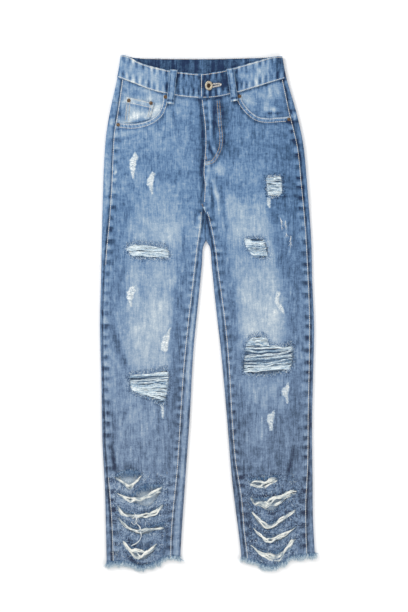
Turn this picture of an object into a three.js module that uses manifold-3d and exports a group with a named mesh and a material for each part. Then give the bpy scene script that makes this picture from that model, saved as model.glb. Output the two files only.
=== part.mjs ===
// Ripped high-waist jeans, buttoned and laid flat on their back with the front up.
// Millimetres, +Z up, waistband towards +Y, wearer's right side towards -X.
//
// The garment is one flattened skin of denim, lofted through sections, that is cut along its
// seams into the pieces a maker would sew. "Right" and "left" are the wearer's.
import * as THREE from "three";
import { mergeVertices } from "three/addons/utils/BufferGeometryUtils.js";
import Module from "manifold-3d";

const wasm = await Module();
wasm.setup();

// ---------------------------------------------------------------- driving dimensions
const DENIM = 1.2; // thickness of one layer of cloth
const SEAM_GAP = 0.3; // clearance between pieces that meet at a seam
const FOLD_R = 3.2; // outer radius where the back wraps round to the front
const SAG = 1.2; // how far the upper layer sinks between two folded edges
const SAG_REACH = 30; // distance from an edge at which it has sunk all the way
const BAND_PROUD = 0.8; // the waistband stands this far outside the panels
const BAND_THICK = 2.4; // two layers of denim
const BAND_RISE = 46; // height of the waistband
const PATCH_LIFT = 1.6; // the seat rests on its patch pockets, this far off the ground
const BAND_LIFT = 2.4; // and the waist on its rear belt loops
const LOOP_WIDTH = 11.5;
const LOOP_THICK = 2;
const REAR_LOOP_THICK = 1.3;
const RIVET_R = 4.3;
const BUTTON_R = 8.5;
const FRINGE = 7; // reach of the frayed threads below the raw hem
const TOP_Y = 506; // the skin is lofted past the waist and hem, then cut to the outlines
const BOTTOM_Y = -508;
const LEG_SPLIT_Z = 2.4; // a level between the lower and the upper layer of the legs
const SEAT_SPLIT_Z = 4.4; // of the seat
const BAND_SPLIT_Z = 5; // and of the waistband
const ABOVE = 30; // any height over the whole garment

// ---------------------------------------------------------------- edges and seams in plan
// Each list is [y, x] from the waist down, read as a smooth curve x(y).
const sideEdgeRight = curve([
  [506, -167.5], [457, -175.5], [391, -190], [330, -199], [220, -204], [65, -207.5],
  [-22, -209.5], [-137, -206.8], [-245, -205], [-340, -200], [-440, -197.5], [-508, -196],
]);
const sideEdgeLeft = curve([
  [506, 142], [457, 151.5], [391, 170.7], [329, 184.3], [251, 192], [143, 200], [65, 202],
  [-28, 205.6], [-121, 203.7], [-214, 201.8], [-323, 202.7], [-401, 203.7], [-508, 209.5],
]);
const sideSeamRight = curve([
  [506, -162], [453, -167], [380, -177.5], [344, -183.5], [250, -188], [182, -192.5],
  [104, -199.5], [-22, -203.8], [-245, -199], [-327, -194], [-398, -188.5], [-508, -184.5],
]);
const sideSeamLeft = curve([
  [506, 136], [453, 145.5], [390, 158.9], [321, 175], [250, 182.5], [182, 189], [104, 194],
  [-19, 198.7], [-198, 196], [-291, 195], [-384, 191], [-508, 194.5],
]);
// The inner edges of the legs start at the fork, where the gap between the legs ends.
const FORK = new THREE.Vector2(-3.9, 141);
const innerEdgeRight = curve([
  [141, -3.9], [127, -9.7], [96, -11.8], [18, -19.4], [-75, -28.5], [-199, -35.3],
  [-323, -44], [-447, -52.4], [-508, -54.8],
]);
const innerEdgeLeft = curve([
  [141, -3.9], [127, 3.9], [96, 6.8], [18, 14.6], [-75, 25.2], [-199, 36.4], [-323, 46.6],
  [-447, 62], [-508, 68],
]);
// The front edge of the fly runs into the crotch seam, and each inseam starts where it ends.
const CROTCH_Y = 206;
const centreFront = curve([
  [430, -14.5], [401, -11.6], [361, -6.8], [321, -6], [273, -9.5], [250, -7], [206, -9.3],
]);
const inseamRight = curve([
  [206, -9.3], [177, -11], [129, -17.8], [61, -25.6], [-18, -34.9], [-114, -44.2],
  [-210, -50.4], [-304, -56.5], [-412, -66.9], [-508, -70],
]);
const inseamLeft = curve([
  [206, -9.3], [188, -2], [135, 9.5], [73, 17.7], [-19, 30.1], [-105, 37.8], [-198, 43],
  [-284, 49.9], [-355, 61.1], [-426, 67.5], [-508, 78],
]);
const centreBack = curve([[470, -12], [320, -8], [141, -3.9]]);

// Each of these is [x, y] from the wearer's right to left, read as a smooth curve y(x).
const bandTopFront = curve([
  [-172, 501], [-155, 497.6], [-136, 487], [-109, 478], [-75, 470.4], [-41, 465.8],
  [-14.5, 464], [8, 466.4], [34, 471], [63, 479], [96, 488.4], [124, 496.5], [148, 497.5],
]);
const bandBottomFront = curve([
  [-180, 458.8], [-147, 446.6], [-109, 432], [-77, 424.3], [-54, 420], [-14.5, 416.5],
  [14, 418], [42, 423.6], [63, 428.7], [96, 438.8], [129, 448.9], [158, 457],
]);
const bandTopBack = curve([
  [-172, 501], [-155, 497.6], [-139, 494.6], [-6, 493.3], [100, 495.6], [124, 496.5],
  [148, 497.5],
]);
const bandBottomBack = curve([
  [-180, 458.8], [-147, 451.5], [-6, 493.3 - BAND_RISE], [129, 451.5], [158, 457],
]);
const yokeSeam = curve([[-210, 411.5], [-100, 396], [-9, 373], [90, 398], [190, 421.5]]);
const hemRight = curve([
  [-215, -488], [-175, -484], [-155, -486], [-134, -492.6], [-120, -491.6], [-99, -484],
  [-84, -475.6], [-70, -473.6], [-45, -478.6],
]);
const hemLeft = curve([
  [50, -470.6], [76, -479], [93, -483], [107, -490.6], [128, -492], [145, -485],
  [161, -475.4], [185, -471], [215, -468],
]);

// The scooped mouths of the front pockets, from the waistband to the side seam.
const mouthRight = [
  [-87, 430], [-88, 412], [-91, 399], [-98, 386], [-112, 375.5], [-130, 369.2],
  [-150, 367], [-184, 370.6],
];
const mouthLeft = [
  [62, 432], [66, 414], [72, 404], [81, 393], [92, 384], [101, 380], [117, 378.2],
  [134, 379.4], [168, 381.6],
];

// Rips that stay filled with white weft threads.
const threadedRips = {
  rip_hip_left: [[113.5, 262.5], [127, 264.2], [140, 264.4], [141.4, 231], [118.5, 225.5]],
  rip_thigh_right: [
    [-158.5, 125.5], [-143, 131.4], [-112, 130], [-78, 122.5], [-76.8, 108],
    [-112, 107.5], [-146, 110.8],
  ],
  rip_thigh_left: [[72, 142.6], [107, 141.4], [114.6, 108], [89, 110.8], [76, 128]],
  rip_knee_right: [
    [-152.5, -122], [-115, -118.5], [-78.4, -113], [-79.8, -149], [-87.5, -175.5],
    [-115, -162.5], [-146.5, -150],
  ],
  rip_knee_left: [
    [73.5, -66], [79.5, -52.5], [98, -45.4], [113, -51], [118, -59.4], [162.6, -61],
    [158.5, -108], [72, -114.6],
  ],
};
// Slashes across the shins: the upper lip from end to end, then the lower lip that sags below it.
const slashes = {
  slash_right_1: {
    upper: [[-181, -318.5], [-169, -307], [-136, -306], [-128.5, -313.5]],
    lower: [[-168, -327], [-152.5, -339], [-141, -328]],
  },
  slash_right_2: {
    upper: [[-178, -347], [-149, -351], [-127, -334], [-87, -333]],
    lower: [[-162, -357], [-140, -368], [-114, -373], [-97, -354]],
  },
  slash_right_3: {
    upper: [[-175.5, -375], [-152, -385], [-128, -389], [-84, -370]],
    lower: [[-156, -392.5], [-128, -396.5], [-103, -388]],
  },
  slash_right_4: {
    upper: [[-176, -394], [-156, -408], [-132, -417], [-108, -412], [-84.5, -405]],
    lower: [[-156, -417.5], [-133, -428], [-110, -424], [-94, -414]],
  },
  slash_right_5: {
    upper: [[-165, -441], [-145, -454], [-122, -458], [-100, -449]],
    lower: [[-150, -466], [-132, -477.5], [-119, -473.5], [-106, -461]],
  },
  slash_left_1: {
    upper: [[80, -323], [92, -320], [112, -318], [137.5, -314]],
    lower: [[90, -334], [106, -337], [127, -326]],
  },
  slash_left_2: {
    upper: [[82.5, -359], [106, -358], [135, -355.5], [156, -345.5], [172, -343.5]],
    lower: [[101, -373], [123, -383], [135, -375], [155, -358]],
  },
  slash_left_3: {
    upper: [[84, -384], [103, -398], [117, -406], [137, -400], [172, -378.5]],
    lower: [[97, -406], [117, -419.5], [144, -405]],
  },
  slash_left_4: {
    upper: [[87, -415], [104, -428], [121, -433], [145, -428], [169, -412.5]],
    lower: [[101, -434], [121, -443], [147, -436]],
  },
  slash_left_5: {
    upper: [[83, -449], [104, -459], [128, -463], [148, -453], [170, -435.5]],
    lower: [[102, -468], [130, -474], [150, -462]],
  },
};

// ---------------------------------------------------------------- small helpers
// A smooth function through [at, value] pairs, level at neither end.
function curve(pairs) {
  const sorted = [...pairs].sort((a, b) => a[0] - b[0]);
  const slope = (i) => {
    const a = sorted[Math.max(i - 1, 0)];
    const b = sorted[Math.min(i + 1, sorted.length - 1)];
    return (b[1] - a[1]) / (b[0] - a[0]);
  };
  return (at) => {
    let i = sorted.findIndex((pair) => pair[0] > at) - 1;
    if (i < -1) i = sorted.length - 2;
    i = THREE.MathUtils.clamp(i, 0, sorted.length - 2);
    const [[a, va], [b, vb]] = [sorted[i], sorted[i + 1]];
    const t = THREE.MathUtils.clamp((at - a) / (b - a), 0, 1);
    const [t2, t3] = [t * t, t * t * t];
    return (2 * t3 - 3 * t2 + 1) * va + (t3 - 2 * t2 + t) * (b - a) * slope(i)
      + (3 * t2 - 2 * t3) * vb + (t3 - t2) * (b - a) * slope(i + 1);
  };
}

const smooth = (t) => THREE.MathUtils.smoothstep(t, 0, 1);
const from = (start, end, steps) =>
  Array.from({ length: steps + 1 }, (_, i) => THREE.MathUtils.lerp(start, end, i / steps));

function solid(geometry) {
  const bare = geometry.clone();
  bare.deleteAttribute("normal");
  bare.deleteAttribute("uv");
  const merged = mergeVertices(bare, 1e-4);
  return new wasm.Manifold(new wasm.Mesh({
    numProp: 3,
    vertProperties: merged.getAttribute("position").array,
    triVerts: new Uint32Array(merged.index.array),
  }));
}

function geometryOf(manifold) {
  const mesh = manifold.getMesh();
  return new THREE.BufferGeometry()
    .setAttribute("position", new THREE.BufferAttribute(mesh.vertProperties, 3))
    .setIndex(new THREE.BufferAttribute(mesh.triVerts, 1));
}

// A closed outline, given as [x, y] points, extruded from one height to another.
function prism(points, low = -1, high = ABOVE) {
  const shape = new THREE.Shape(points.map(([x, y]) => new THREE.Vector2(x, y)));
  const geometry = new THREE.ExtrudeGeometry(shape, { depth: high - low, bevelEnabled: false });
  return solid(geometry.translate(0, 0, low));
}

// The same, kept to the upper layer of the garment.
function overhead(points) {
  const block = ([y0, y1], low) => prism([[-300, y0], [300, y0], [300, y1], [-300, y1]], low);
  return prism(points).intersect(
    block([-600, CROTCH_Y], LEG_SPLIT_Z).add(block([CROTCH_Y, 600], SEAT_SPLIT_Z)));
}

// Points on a soft line through the given ones.
function softened(points, steps) {
  const line = new THREE.SplineCurve(points.map(([x, y]) => new THREE.Vector2(x, y)));
  return line.getPoints(steps).map((p) => [p.x, p.y]);
}

// Points [x, y] along a seam x(y), or along an edge y(x).
const downSeam = (seam, startY, endY, steps) => from(startY, endY, steps).map((y) => [seam(y), y]);
const acrossEdge = (edge, startX, endX, steps) => from(startX, endX, steps).map((x) => [x, edge(x)]);

// A closed body through rings that have the same number of points.
function loft(rings) {
  const count = rings[0].length;
  const positions = rings.flat().flatMap((p) => [p.x, p.y, p.z]);
  const index = [];
  for (let row = 0; row + 1 < rings.length; row++) {
    for (let i = 0; i < count; i++) {
      const [a, b] = [row * count + i, row * count + ((i + 1) % count)];
      index.push(a, b, a + count, b, b + count, a + count);
    }
  }
  const cap = (ring) => THREE.ShapeUtils.triangulateShape(
    ring.map((p) => new THREE.Vector2(p.x, p.z)), []);
  const last = (rings.length - 1) * count;
  cap(rings[0]).forEach(([a, b, c]) => index.push(c, b, a));
  cap(rings.at(-1)).forEach(([a, b, c]) => index.push(last + a, last + b, last + c));
  const geometry = new THREE.BufferGeometry()
    .setAttribute("position", new THREE.Float32BufferAttribute(positions, 3))
    .setIndex(index);
  const made = solid(geometry);
  if (made.volume() > 0) return made;
  for (let i = 0; i < index.length; i += 3) [index[i], index[i + 1]] = [index[i + 1], index[i]];
  return solid(geometry.setIndex(index));
}

// ---------------------------------------------------------------- the flattened skin
// The lowest face: on the ground along the legs, and lifted by what is sewn on the back.
function underside(y) {
  return PATCH_LIFT * smooth((y - 185) / 50) + (BAND_LIFT - PATCH_LIFT) * smooth((y - 395) / 40);
}

// How far a point in plan is from the nearest folded edge.
function edgeDistance(x, y) {
  const sides = Math.min(x - sideEdgeRight(y), sideEdgeLeft(y) - x);
  if (y > FORK.y) return Math.min(sides, Math.hypot(x - FORK.x, y - FORK.y));
  return Math.min(sides, x < FORK.x ? innerEdgeRight(y) - x : x - innerEdgeLeft(y));
}

// The swags that hang between the slashes: soft ridges across the middle of each shin.
function swags(x, y) {
  const [right, left] = x < FORK.x
    ? [sideEdgeRight(y), innerEdgeRight(y)]
    : [innerEdgeLeft(y), sideEdgeLeft(y)];
  const across = (x - right) / (left - right);
  const droop = 18 * Math.sin(Math.PI * across);
  const zone = smooth((-300 - y) / 25) * smooth(Math.sin(Math.PI * across) * 1.4 - 0.3);
  return 0.7 * zone * Math.sin((2 * Math.PI * (y + droop)) / 38);
}

// The upper face of the front.
function crown(x, y) {
  const sag = SAG * smooth((edgeDistance(x, y) - FOLD_R) / SAG_REACH);
  return underside(y) + 2 * FOLD_R - sag + swags(x, y);
}

// One section of a flattened tube between two folded edges, drawn in by inset.
function section(y, left, right, inset, columns) {
  const low = underside(y);
  const r = FOLD_R - inset;
  const point = (x, z) => new THREE.Vector3(x, y, z);
  const fold = (x, start) => from(start, start + Math.PI, 4).map((angle) =>
    point(x + r * Math.cos(angle), low + FOLD_R + r * Math.sin(angle)));
  const across = (t) => THREE.MathUtils.lerp(left + FOLD_R, right - FOLD_R, t);
  return [
    point(across(0.5), low + inset),
    ...fold(right - FOLD_R, -Math.PI / 2),
    ...columns.map((t) => point(across(1 - t), crown(across(1 - t), y) - inset)),
    ...fold(left + FOLD_R, Math.PI / 2),
  ];
}

const LEG_ROWS = [146, 141, 133, 120, 85, 30, -60, -150, -230, -290, ...from(-308, -496, 9), BOTTOM_Y];
const LEG_COLUMNS = [0.15, 0.38, 0.62, 0.85];
const SEAT_ROWS = [152, 175, 206, 240, 290, 340, 385, 415, 440, 470, TOP_Y];
const SEAT_COLUMNS = [0.08, 0.22, 0.42, 0.47, 0.49, 0.53, 0.62, 0.78, 0.92];

// The whole garment as a closed form, drawn in by inset. Its ends reach past the outlines.
function form(inset) {
  const reach = inset > 0 ? 3 : 0;
  const seatRows = [FORK.y + Math.max(inset, 0), ...SEAT_ROWS.slice(0, -1), TOP_Y + reach];
  const legRows = [...LEG_ROWS.slice(0, -1), BOTTOM_Y - reach];
  const seat = loft(seatRows.map((y) =>
    section(y, sideEdgeRight(y), sideEdgeLeft(y), inset, SEAT_COLUMNS)));
  const right = loft(legRows.map((y) =>
    section(y, sideEdgeRight(y), innerEdgeRight(y), inset, LEG_COLUMNS)));
  const left = loft(legRows.map((y) =>
    section(y, innerEdgeLeft(y), sideEdgeLeft(y), inset, LEG_COLUMNS)));
  return seat.add(right).add(left);
}

const skin = form(0).subtract(form(DENIM));

// ---------------------------------------------------------------- outlines of the pieces
const HALF = SEAM_GAP / 2;
const shifted = (points, dx, dy = 0) => points.map(([x, y]) => [x + dx, y + dy]);

// The front panel of one leg: down the fly and the crotch, down the inseam, and up the side seam.
// Let_out moves the whole outline outwards at its seams. Towards is +1 on the wearer's left.
const panelOutline = ({ towards, inseam, sideSeam }, letOut) => [
  ...shifted(downSeam(centreFront, 470, CROTCH_Y, 7), -towards * letOut),
  ...shifted(downSeam(inseam, CROTCH_Y - 8, BOTTOM_Y, 10), -towards * letOut),
  ...shifted(downSeam(sideSeam, BOTTOM_Y, 470, 14), towards * letOut),
];
// What the scoop of a pocket takes away from it.
const mouthOutline = ({ towards, mouth }) => [
  ...softened(mouth, 12), [towards * 250, mouth.at(-1)[1]], [towards * 250, 500], [mouth[0][0], 500],
];

// Everything below the hem line of a leg, and everything above the waistband's lower edge.
const belowHem = (hem, startX, endX) =>
  prism([...acrossEdge(hem, startX, endX, 12), [endX, -540], [startX, -540]]);
const aboveEdge = (edge, low, high) =>
  prism([...shifted(acrossEdge(edge, -182, 160, 16), 0, -HALF), [160, 560], [-182, 560]], low, high);

const RIGHT = { towards: -1, inseam: inseamRight, sideSeam: sideSeamRight, mouth: mouthRight };
const LEFT = { towards: 1, inseam: inseamLeft, sideSeam: sideSeamLeft, mouth: mouthLeft };
const hemCut = belowHem(hemRight, -225, -20).add(belowHem(hemLeft, 20, 225));
const waistCut = aboveEdge(bandBottomFront, SEAT_SPLIT_Z, ABOVE)
  .add(aboveEdge(bandBottomBack, -1, SEAT_SPLIT_Z));

// The outline of a rip drawn in towards its middle, which clears its edges by about 0.3 mm.
const ripOutline = (points, inset) => {
  const corners = points.map(([x, y]) => new THREE.Vector2(x, y));
  const middle = corners.reduce((sum, p) => sum.add(p), new THREE.Vector2()).divideScalar(corners.length);
  return corners.map((p) => {
    const pulled = p.clone().add(middle.clone().sub(p).setLength(inset));
    return [pulled.x, pulled.y];
  });
};
const LIP_STEPS = 6;
const lowerLip = ({ upper, lower }) => softened([upper[0], ...lower, upper.at(-1)], LIP_STEPS);
const slashOutline = (lips) => [
  ...lowerLip(lips),
  ...softened(lips.upper, LIP_STEPS).reverse().slice(1, -1),
];
// The threads that are left in a slash lie along its lower lip, clear of both lips.
function strands(lips) {
  const along = shifted(lowerLip(lips).slice(1, -1), 0, 0.8);
  const thick = (i) => 1.6 + 2.4 * Math.sin((Math.PI * i) / (along.length - 1));
  const bundle = [...along, ...along.map(([x, y], i) => [x, y + thick(i)]).reverse()];
  const upper = shifted(softened(lips.upper, LIP_STEPS), 0, -0.6);
  const under = [...upper, [upper.at(-1)[0], upper.at(-1)[1] - 80], [upper[0][0], upper[0][1] - 80]];
  return overhead(bundle).intersect(prism(under));
}

const holes = [...Object.values(threadedRips), ...Object.values(slashes).map(slashOutline)]
  .map(overhead).reduce((all, hole) => all.add(hole));

// ---------------------------------------------------------------- materials
const material = (name, color, roughness, metalness = 0) =>
  Object.assign(new THREE.MeshStandardMaterial({ color, roughness, metalness }), { name });
const denim = material("washed_denim", 0x7d9cc0, 0.92);
const darkDenim = material("dark_denim", 0x3f6591, 0.92);
const paleDenim = material("faded_denim", 0x9fb4c6, 0.92);
const threads = material("white_weft", 0xd9dcd8, 0.95);
const brass = material("aged_brass", 0xb9a06a, 0.38, 1);
const copper = material("aged_copper", 0x6b4f33, 0.45, 1);

const jeans = new THREE.Group();

function add(name, manifold, look) {
  const mesh = new THREE.Mesh(geometryOf(manifold), look);
  mesh.name = name;
  jeans.add(mesh);
  return mesh;
}

// ---------------------------------------------------------------- front panels
[["front_right", RIGHT], ["front_left", LEFT]].forEach(([name, side]) => {
  const cuts = overhead(mouthOutline(side)).add(hemCut).add(waistCut).add(holes);
  add(name, skin.intersect(overhead(panelOutline(side, -HALF))).subtract(cuts), denim);
});

// ---------------------------------------------------------------- back panels and yokes
// What is left of the skin when the fronts and the pocket mouths are taken out of the top.
const sideOf = (towards) => prism([
  ...shifted(downSeam(centreBack, 470, FORK.y, 6), towards * HALF),
  [FORK.x + towards * HALF, BOTTOM_Y - 20],
  [towards * 260, BOTTOM_Y - 20], [towards * 260, 470],
]);
const upperFront = overhead(panelOutline(RIGHT, HALF)).add(overhead(panelOutline(LEFT, HALF)));
const beyondYoke = (towards) => prism([
  ...shifted(acrossEdge(yokeSeam, -225, 225, 12), 0, towards * HALF),
  [225, towards * 560],
  [-225, towards * 560],
]);
const trunk = skin.subtract(upperFront).subtract(hemCut).subtract(waistCut);
[["right", -1], ["left", 1]].forEach(([side, towards]) => {
  const half = trunk.intersect(sideOf(towards));
  add(`back_${side}`, half.intersect(beyondYoke(-1)), denim);
  add(`yoke_${side}`, half.intersect(beyondYoke(1)), denim);
});

// ---------------------------------------------------------------- pocket facings
// They lie under the fronts, and show in the mouths of the pockets.
const lining = form(DENIM + SEAM_GAP);
const facingSkin = lining.subtract(lining.translate([0, 0, -DENIM]));
const FACING_SPLIT_Z = 3.4;
const facing = ({ sideSeam, towards }, innerX, bottomY) => {
  const outline = [
    ...shifted(downSeam(sideSeam, 466, bottomY, 6), -towards * 2 * SEAM_GAP),
    [innerX, bottomY],
    [innerX, 466],
  ];
  return facingSkin.intersect(prism(outline, FACING_SPLIT_Z)).subtract(waistCut);
};
add("pocket_facing_right", facing(RIGHT, -72, 350), paleDenim);
add("pocket_facing_left", facing(LEFT, 50, 360), paleDenim);

// The coin pocket is a patch on the right facing. Its foot ends at the mouth of the pocket.
const coinFoot = softened(mouthRight, 12).filter(([x]) => x > -163 && x < -110);
const coinOutline = [[-158, 419], [-104.5, 408], ...shifted(coinFoot, 0, 2 * SEAM_GAP)];
add("coin_pocket", skin.intersect(overhead(coinOutline)), paleDenim);

// ---------------------------------------------------------------- waistband
const bandSkin = form(-BAND_PROUD).subtract(form(BAND_THICK - BAND_PROUD));
const bandOutline = (top, bottom) => [
  ...shifted(acrossEdge(bottom, -182, 160, 16), 0, HALF),
  ...acrossEdge(top, 156, -178, 16),
];
const frontBand = prism(bandOutline(bandTopFront, bandBottomFront), BAND_SPLIT_Z);
const backBand = prism(bandOutline(bandTopBack, bandBottomBack), -1, BAND_SPLIT_Z);
const closing = prism([[-14.65, 400], [-14.35, 400], [-14.35, 480], [-14.65, 480]], BAND_SPLIT_Z);
add("waistband", bandSkin.intersect(frontBand.add(backBand)).subtract(closing), denim);

// ---------------------------------------------------------------- frayed hems and rip threads
[["right", hemRight, -1], ["left", hemLeft, 1]].forEach(([side, hem, towards]) => {
  const [startX, endX] = towards < 0 ? [-225, -20] : [20, 225];
  const band = prism([
    ...shifted(acrossEdge(hem, startX, endX, 12), 0, -SEAM_GAP),
    ...shifted(acrossEdge(hem, endX, startX, 12), 0, -FRINGE),
  ]);
  add(`hem_fringe_${side}`, skin.intersect(band), threads);
});
for (const [name, points] of Object.entries(threadedRips)) {
  add(`${name}_threads`, skin.intersect(overhead(ripOutline(points, 2 * SEAM_GAP))), threads);
}
for (const [name, lips] of Object.entries(slashes)) {
  add(`${name}_threads`, skin.intersect(strands(lips)), threads);
}

// ---------------------------------------------------------------- belt loops
// A front loop is tacked under the waistband's lower edge, rises over the band and ends on top
// of it. Its side view is extruded across its width.
function frontLoop(name, foot, head) {
  const length = Math.hypot(head[0] - foot[0], head[1] - foot[1]);
  const lower = [[0, 7.5], [9, 7.8], [13, 8.9], [length / 2, 9.3], [length - 5, 8.8], [length, 8.8]];
  const upper = lower.map(([v, z]) => [v, z + LOOP_THICK]).reverse();
  const profile = new THREE.Shape([...lower, ...upper].map(([v, z]) => new THREE.Vector2(v, z)));
  const geometry = new THREE.ExtrudeGeometry(profile, { depth: LOOP_WIDTH, bevelEnabled: false });
  geometry.translate(0, 0, -LOOP_WIDTH / 2).rotateX(Math.PI / 2);
  const loop = new THREE.Mesh(geometry, denim);
  loop.name = name;
  loop.position.set(foot[0], foot[1], 0);
  loop.rotation.z = Math.atan2(head[1] - foot[1], head[0] - foot[0]);
  jeans.add(loop);
}
frontLoop("belt_loop_front_right", [-73.6, 406], [-66.4, 471]);
frontLoop("belt_loop_front_left", [51.4, 411], [42.6, 473]);

// The rear loops are pressed flat between the waistband and the ground.
for (const [name, x] of [["right", -98], ["centre", -6], ["left", 84]]) {
  const strip = new THREE.BoxGeometry(LOOP_WIDTH, 55, REAR_LOOP_THICK);
  const loop = new THREE.Mesh(strip, darkDenim);
  loop.name = `belt_loop_back_${name}`;
  loop.position.set(x, bandBottomBack(x) + 18, REAR_LOOP_THICK / 2);
  jeans.add(loop);
}

// ---------------------------------------------------------------- back pockets
// Five-sided patches under the seat, mirrored about the centre back seam.
const POCKET_HALF = 61;
const POCKET_DEEP = 108;
const POCKET_POINT = 22;
for (const [side, towards, x, y] of [["right", -1, -98, 378], ["left", 1, 82, 380]]) {
  const shape = new THREE.Shape([
    [-POCKET_HALF, 0], [POCKET_HALF, 0], [POCKET_HALF - 5, -POCKET_DEEP],
    [0, -POCKET_DEEP - POCKET_POINT], [5 - POCKET_HALF, -POCKET_DEEP],
  ].map(([u, v]) => new THREE.Vector2(u, v)));
  const pocket = new THREE.Mesh(
    new THREE.ExtrudeGeometry(shape, { depth: DENIM, bevelEnabled: false }), denim);
  pocket.name = `back_pocket_${side}`;
  pocket.position.set(x, y, 0);
  pocket.rotation.z = towards * THREE.MathUtils.degToRad(7);
  jeans.add(pocket);
}

// ---------------------------------------------------------------- button and rivets
// A profile of [radius, height] points is turned about +Z, from the axis at its foot to its top.
function turned(name, profile, look, [x, y], z, segments) {
  const geometry = new THREE.LatheGeometry(profile.map(([r, h]) => new THREE.Vector2(r, h)), segments);
  const mesh = new THREE.Mesh(geometry.rotateX(Math.PI / 2), look);
  mesh.name = name;
  mesh.position.set(x, y, z);
  jeans.add(mesh);
}
const rivetCap = [
  [0, 0], [RIVET_R, 0], [RIVET_R, 0.5], [RIVET_R * 0.72, 1.2], [RIVET_R * 0.3, 1.5], [0, 1.5],
];
const buttonHead = [
  [0, 0], [2.2, 0], [2.2, 1.2], [BUTTON_R, 1.2], [BUTTON_R, 2.2], [BUTTON_R * 0.86, 3.4],
  [BUTTON_R * 0.6, 3.2], [BUTTON_R * 0.42, 2.2], [0, 2],
];
const onCloth = ([x, y], thick) => crown(x, y) + thick + SEAM_GAP + 0.2;
turned("button", buttonHead, brass, [1.5, 440.5], onCloth([1.5, 440.5], BAND_PROUD), 20);
Object.entries({
  rivet_coin_outer: [-153.5, 412],
  rivet_coin_inner: [-110.5, 407],
  rivet_mouth_right_top: [-82.5, 419],
  rivet_mouth_right_side: [-174, 365],
  rivet_mouth_left_top: [61, 420],
  rivet_mouth_left_side: [156.5, 375.5],
}).forEach(([name, place]) => turned(name, rivetCap, copper, place, onCloth(place, 0), 12));

export default jeans;
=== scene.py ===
import math

import bpy
import numpy as np
from mathutils import Matrix, Vector, geometry, kdtree


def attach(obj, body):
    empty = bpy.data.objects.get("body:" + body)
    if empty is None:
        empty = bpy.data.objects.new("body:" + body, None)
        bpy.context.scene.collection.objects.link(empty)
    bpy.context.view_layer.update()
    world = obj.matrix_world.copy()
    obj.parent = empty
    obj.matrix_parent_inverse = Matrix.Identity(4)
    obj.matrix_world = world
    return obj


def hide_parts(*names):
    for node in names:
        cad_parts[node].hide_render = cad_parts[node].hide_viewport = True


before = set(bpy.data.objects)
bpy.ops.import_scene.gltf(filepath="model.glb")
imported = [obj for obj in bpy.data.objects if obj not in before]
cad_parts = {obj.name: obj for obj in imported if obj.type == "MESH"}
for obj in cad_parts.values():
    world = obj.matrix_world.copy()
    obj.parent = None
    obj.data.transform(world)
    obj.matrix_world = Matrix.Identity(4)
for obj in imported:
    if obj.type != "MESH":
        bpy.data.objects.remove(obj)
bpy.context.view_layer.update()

# ------------------------------------------------------------------ back panels
# Each back panel lies on the ground and is folded round both edges of its leg, up to the seams
# on top. Cotton twill of about 12 oz, 1.2 mm thick, stone-washed. Cut in one piece from the
# yoke to the raw hem; its reverse, seen through the rips, is greyer.
MM = 0.001
DENIM = 1.2
FOLD_R = 3.2
SAG = 1.2
FORK = (-3.9, 141.0)
CROTCH_Y = 206.0
SEAM_HALF = 0.15  # half of the gap that is left between two pieces
OUT = {"right": -1, "left": 1}  # the way out from the middle, along X


def curve(pairs):
    """a smooth function through (at, value) pairs"""
    at, value = np.array(sorted(pairs), float).T
    slope = np.gradient(value)
    slope[1:-1] = (value[2:] - value[:-2]) / (at[2:] - at[:-2])
    slope[0] = (value[1] - value[0]) / (at[1] - at[0])
    slope[-1] = (value[-1] - value[-2]) / (at[-1] - at[-2])

    def along(q):
        q = np.clip(np.asarray(q, float), at[0], at[-1])
        i = np.clip(np.searchsorted(at, q, side="right") - 1, 0, len(at) - 2)
        h = at[i + 1] - at[i]
        u = (q - at[i]) / h
        return (
            (2 * u**3 - 3 * u**2 + 1) * value[i]
            + (u**3 - 2 * u**2 + u) * h * slope[i]
            + (3 * u**2 - 2 * u**3) * value[i + 1]
            + (u**3 - u**2) * h * slope[i + 1]
        )

    return along


# edges and seams in plan, as x(y)
side_edge = {
    "right": curve([
        (506, -167.5), (457, -175.5), (391, -190), (330, -199), (220, -204), (65, -207.5),
        (-22, -209.5), (-137, -206.8), (-245, -205), (-340, -200), (-440, -197.5), (-508, -196),
    ]),
    "left": curve([
        (506, 142), (457, 151.5), (391, 170.7), (329, 184.3), (251, 192), (143, 200), (65, 202),
        (-28, 205.6), (-121, 203.7), (-214, 201.8), (-323, 202.7), (-401, 203.7), (-508, 209.5),
    ]),
}
side_seam = {
    "right": curve([
        (506, -162), (453, -167), (380, -177.5), (344, -183.5), (250, -188), (182, -192.5),
        (104, -199.5), (-22, -203.8), (-245, -199), (-327, -194), (-398, -188.5), (-508, -184.5),
    ]),
    "left": curve([
        (506, 136), (453, 145.5), (390, 158.9), (321, 175), (250, 182.5), (182, 189), (104, 194),
        (-19, 198.7), (-198, 196), (-291, 195), (-384, 191), (-508, 194.5),
    ]),
}
inner_edge = {
    "right": curve([
        (141, -3.9), (127, -9.7), (96, -11.8), (18, -19.4), (-75, -28.5), (-199, -35.3),
        (-323, -44), (-447, -52.4), (-508, -54.8),
    ]),
    "left": curve([
        (141, -3.9), (127, 3.9), (96, 6.8), (18, 14.6), (-75, 25.2), (-199, 36.4), (-323, 46.6),
        (-447, 62), (-508, 68),
    ]),
}
inseam = {
    "right": curve([
        (206, -9.3), (177, -11), (129, -17.8), (61, -25.6), (-18, -34.9), (-114, -44.2),
        (-210, -50.4), (-304, -56.5), (-412, -66.9), (-508, -70),
    ]),
    "left": curve([
        (206, -9.3), (188, -2), (135, 9.5), (73, 17.7), (-19, 30.1), (-105, 37.8), (-198, 43),
        (-284, 49.9), (-355, 61.1), (-426, 67.5), (-508, 78),
    ]),
}
centre_front = curve([
    (430, -14.5), (401, -11.6), (361, -6.8), (321, -6), (273, -9.5), (250, -7), (206, -9.3),
])
centre_back = curve([(470, -12), (320, -8), (141, -3.9)])
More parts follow.
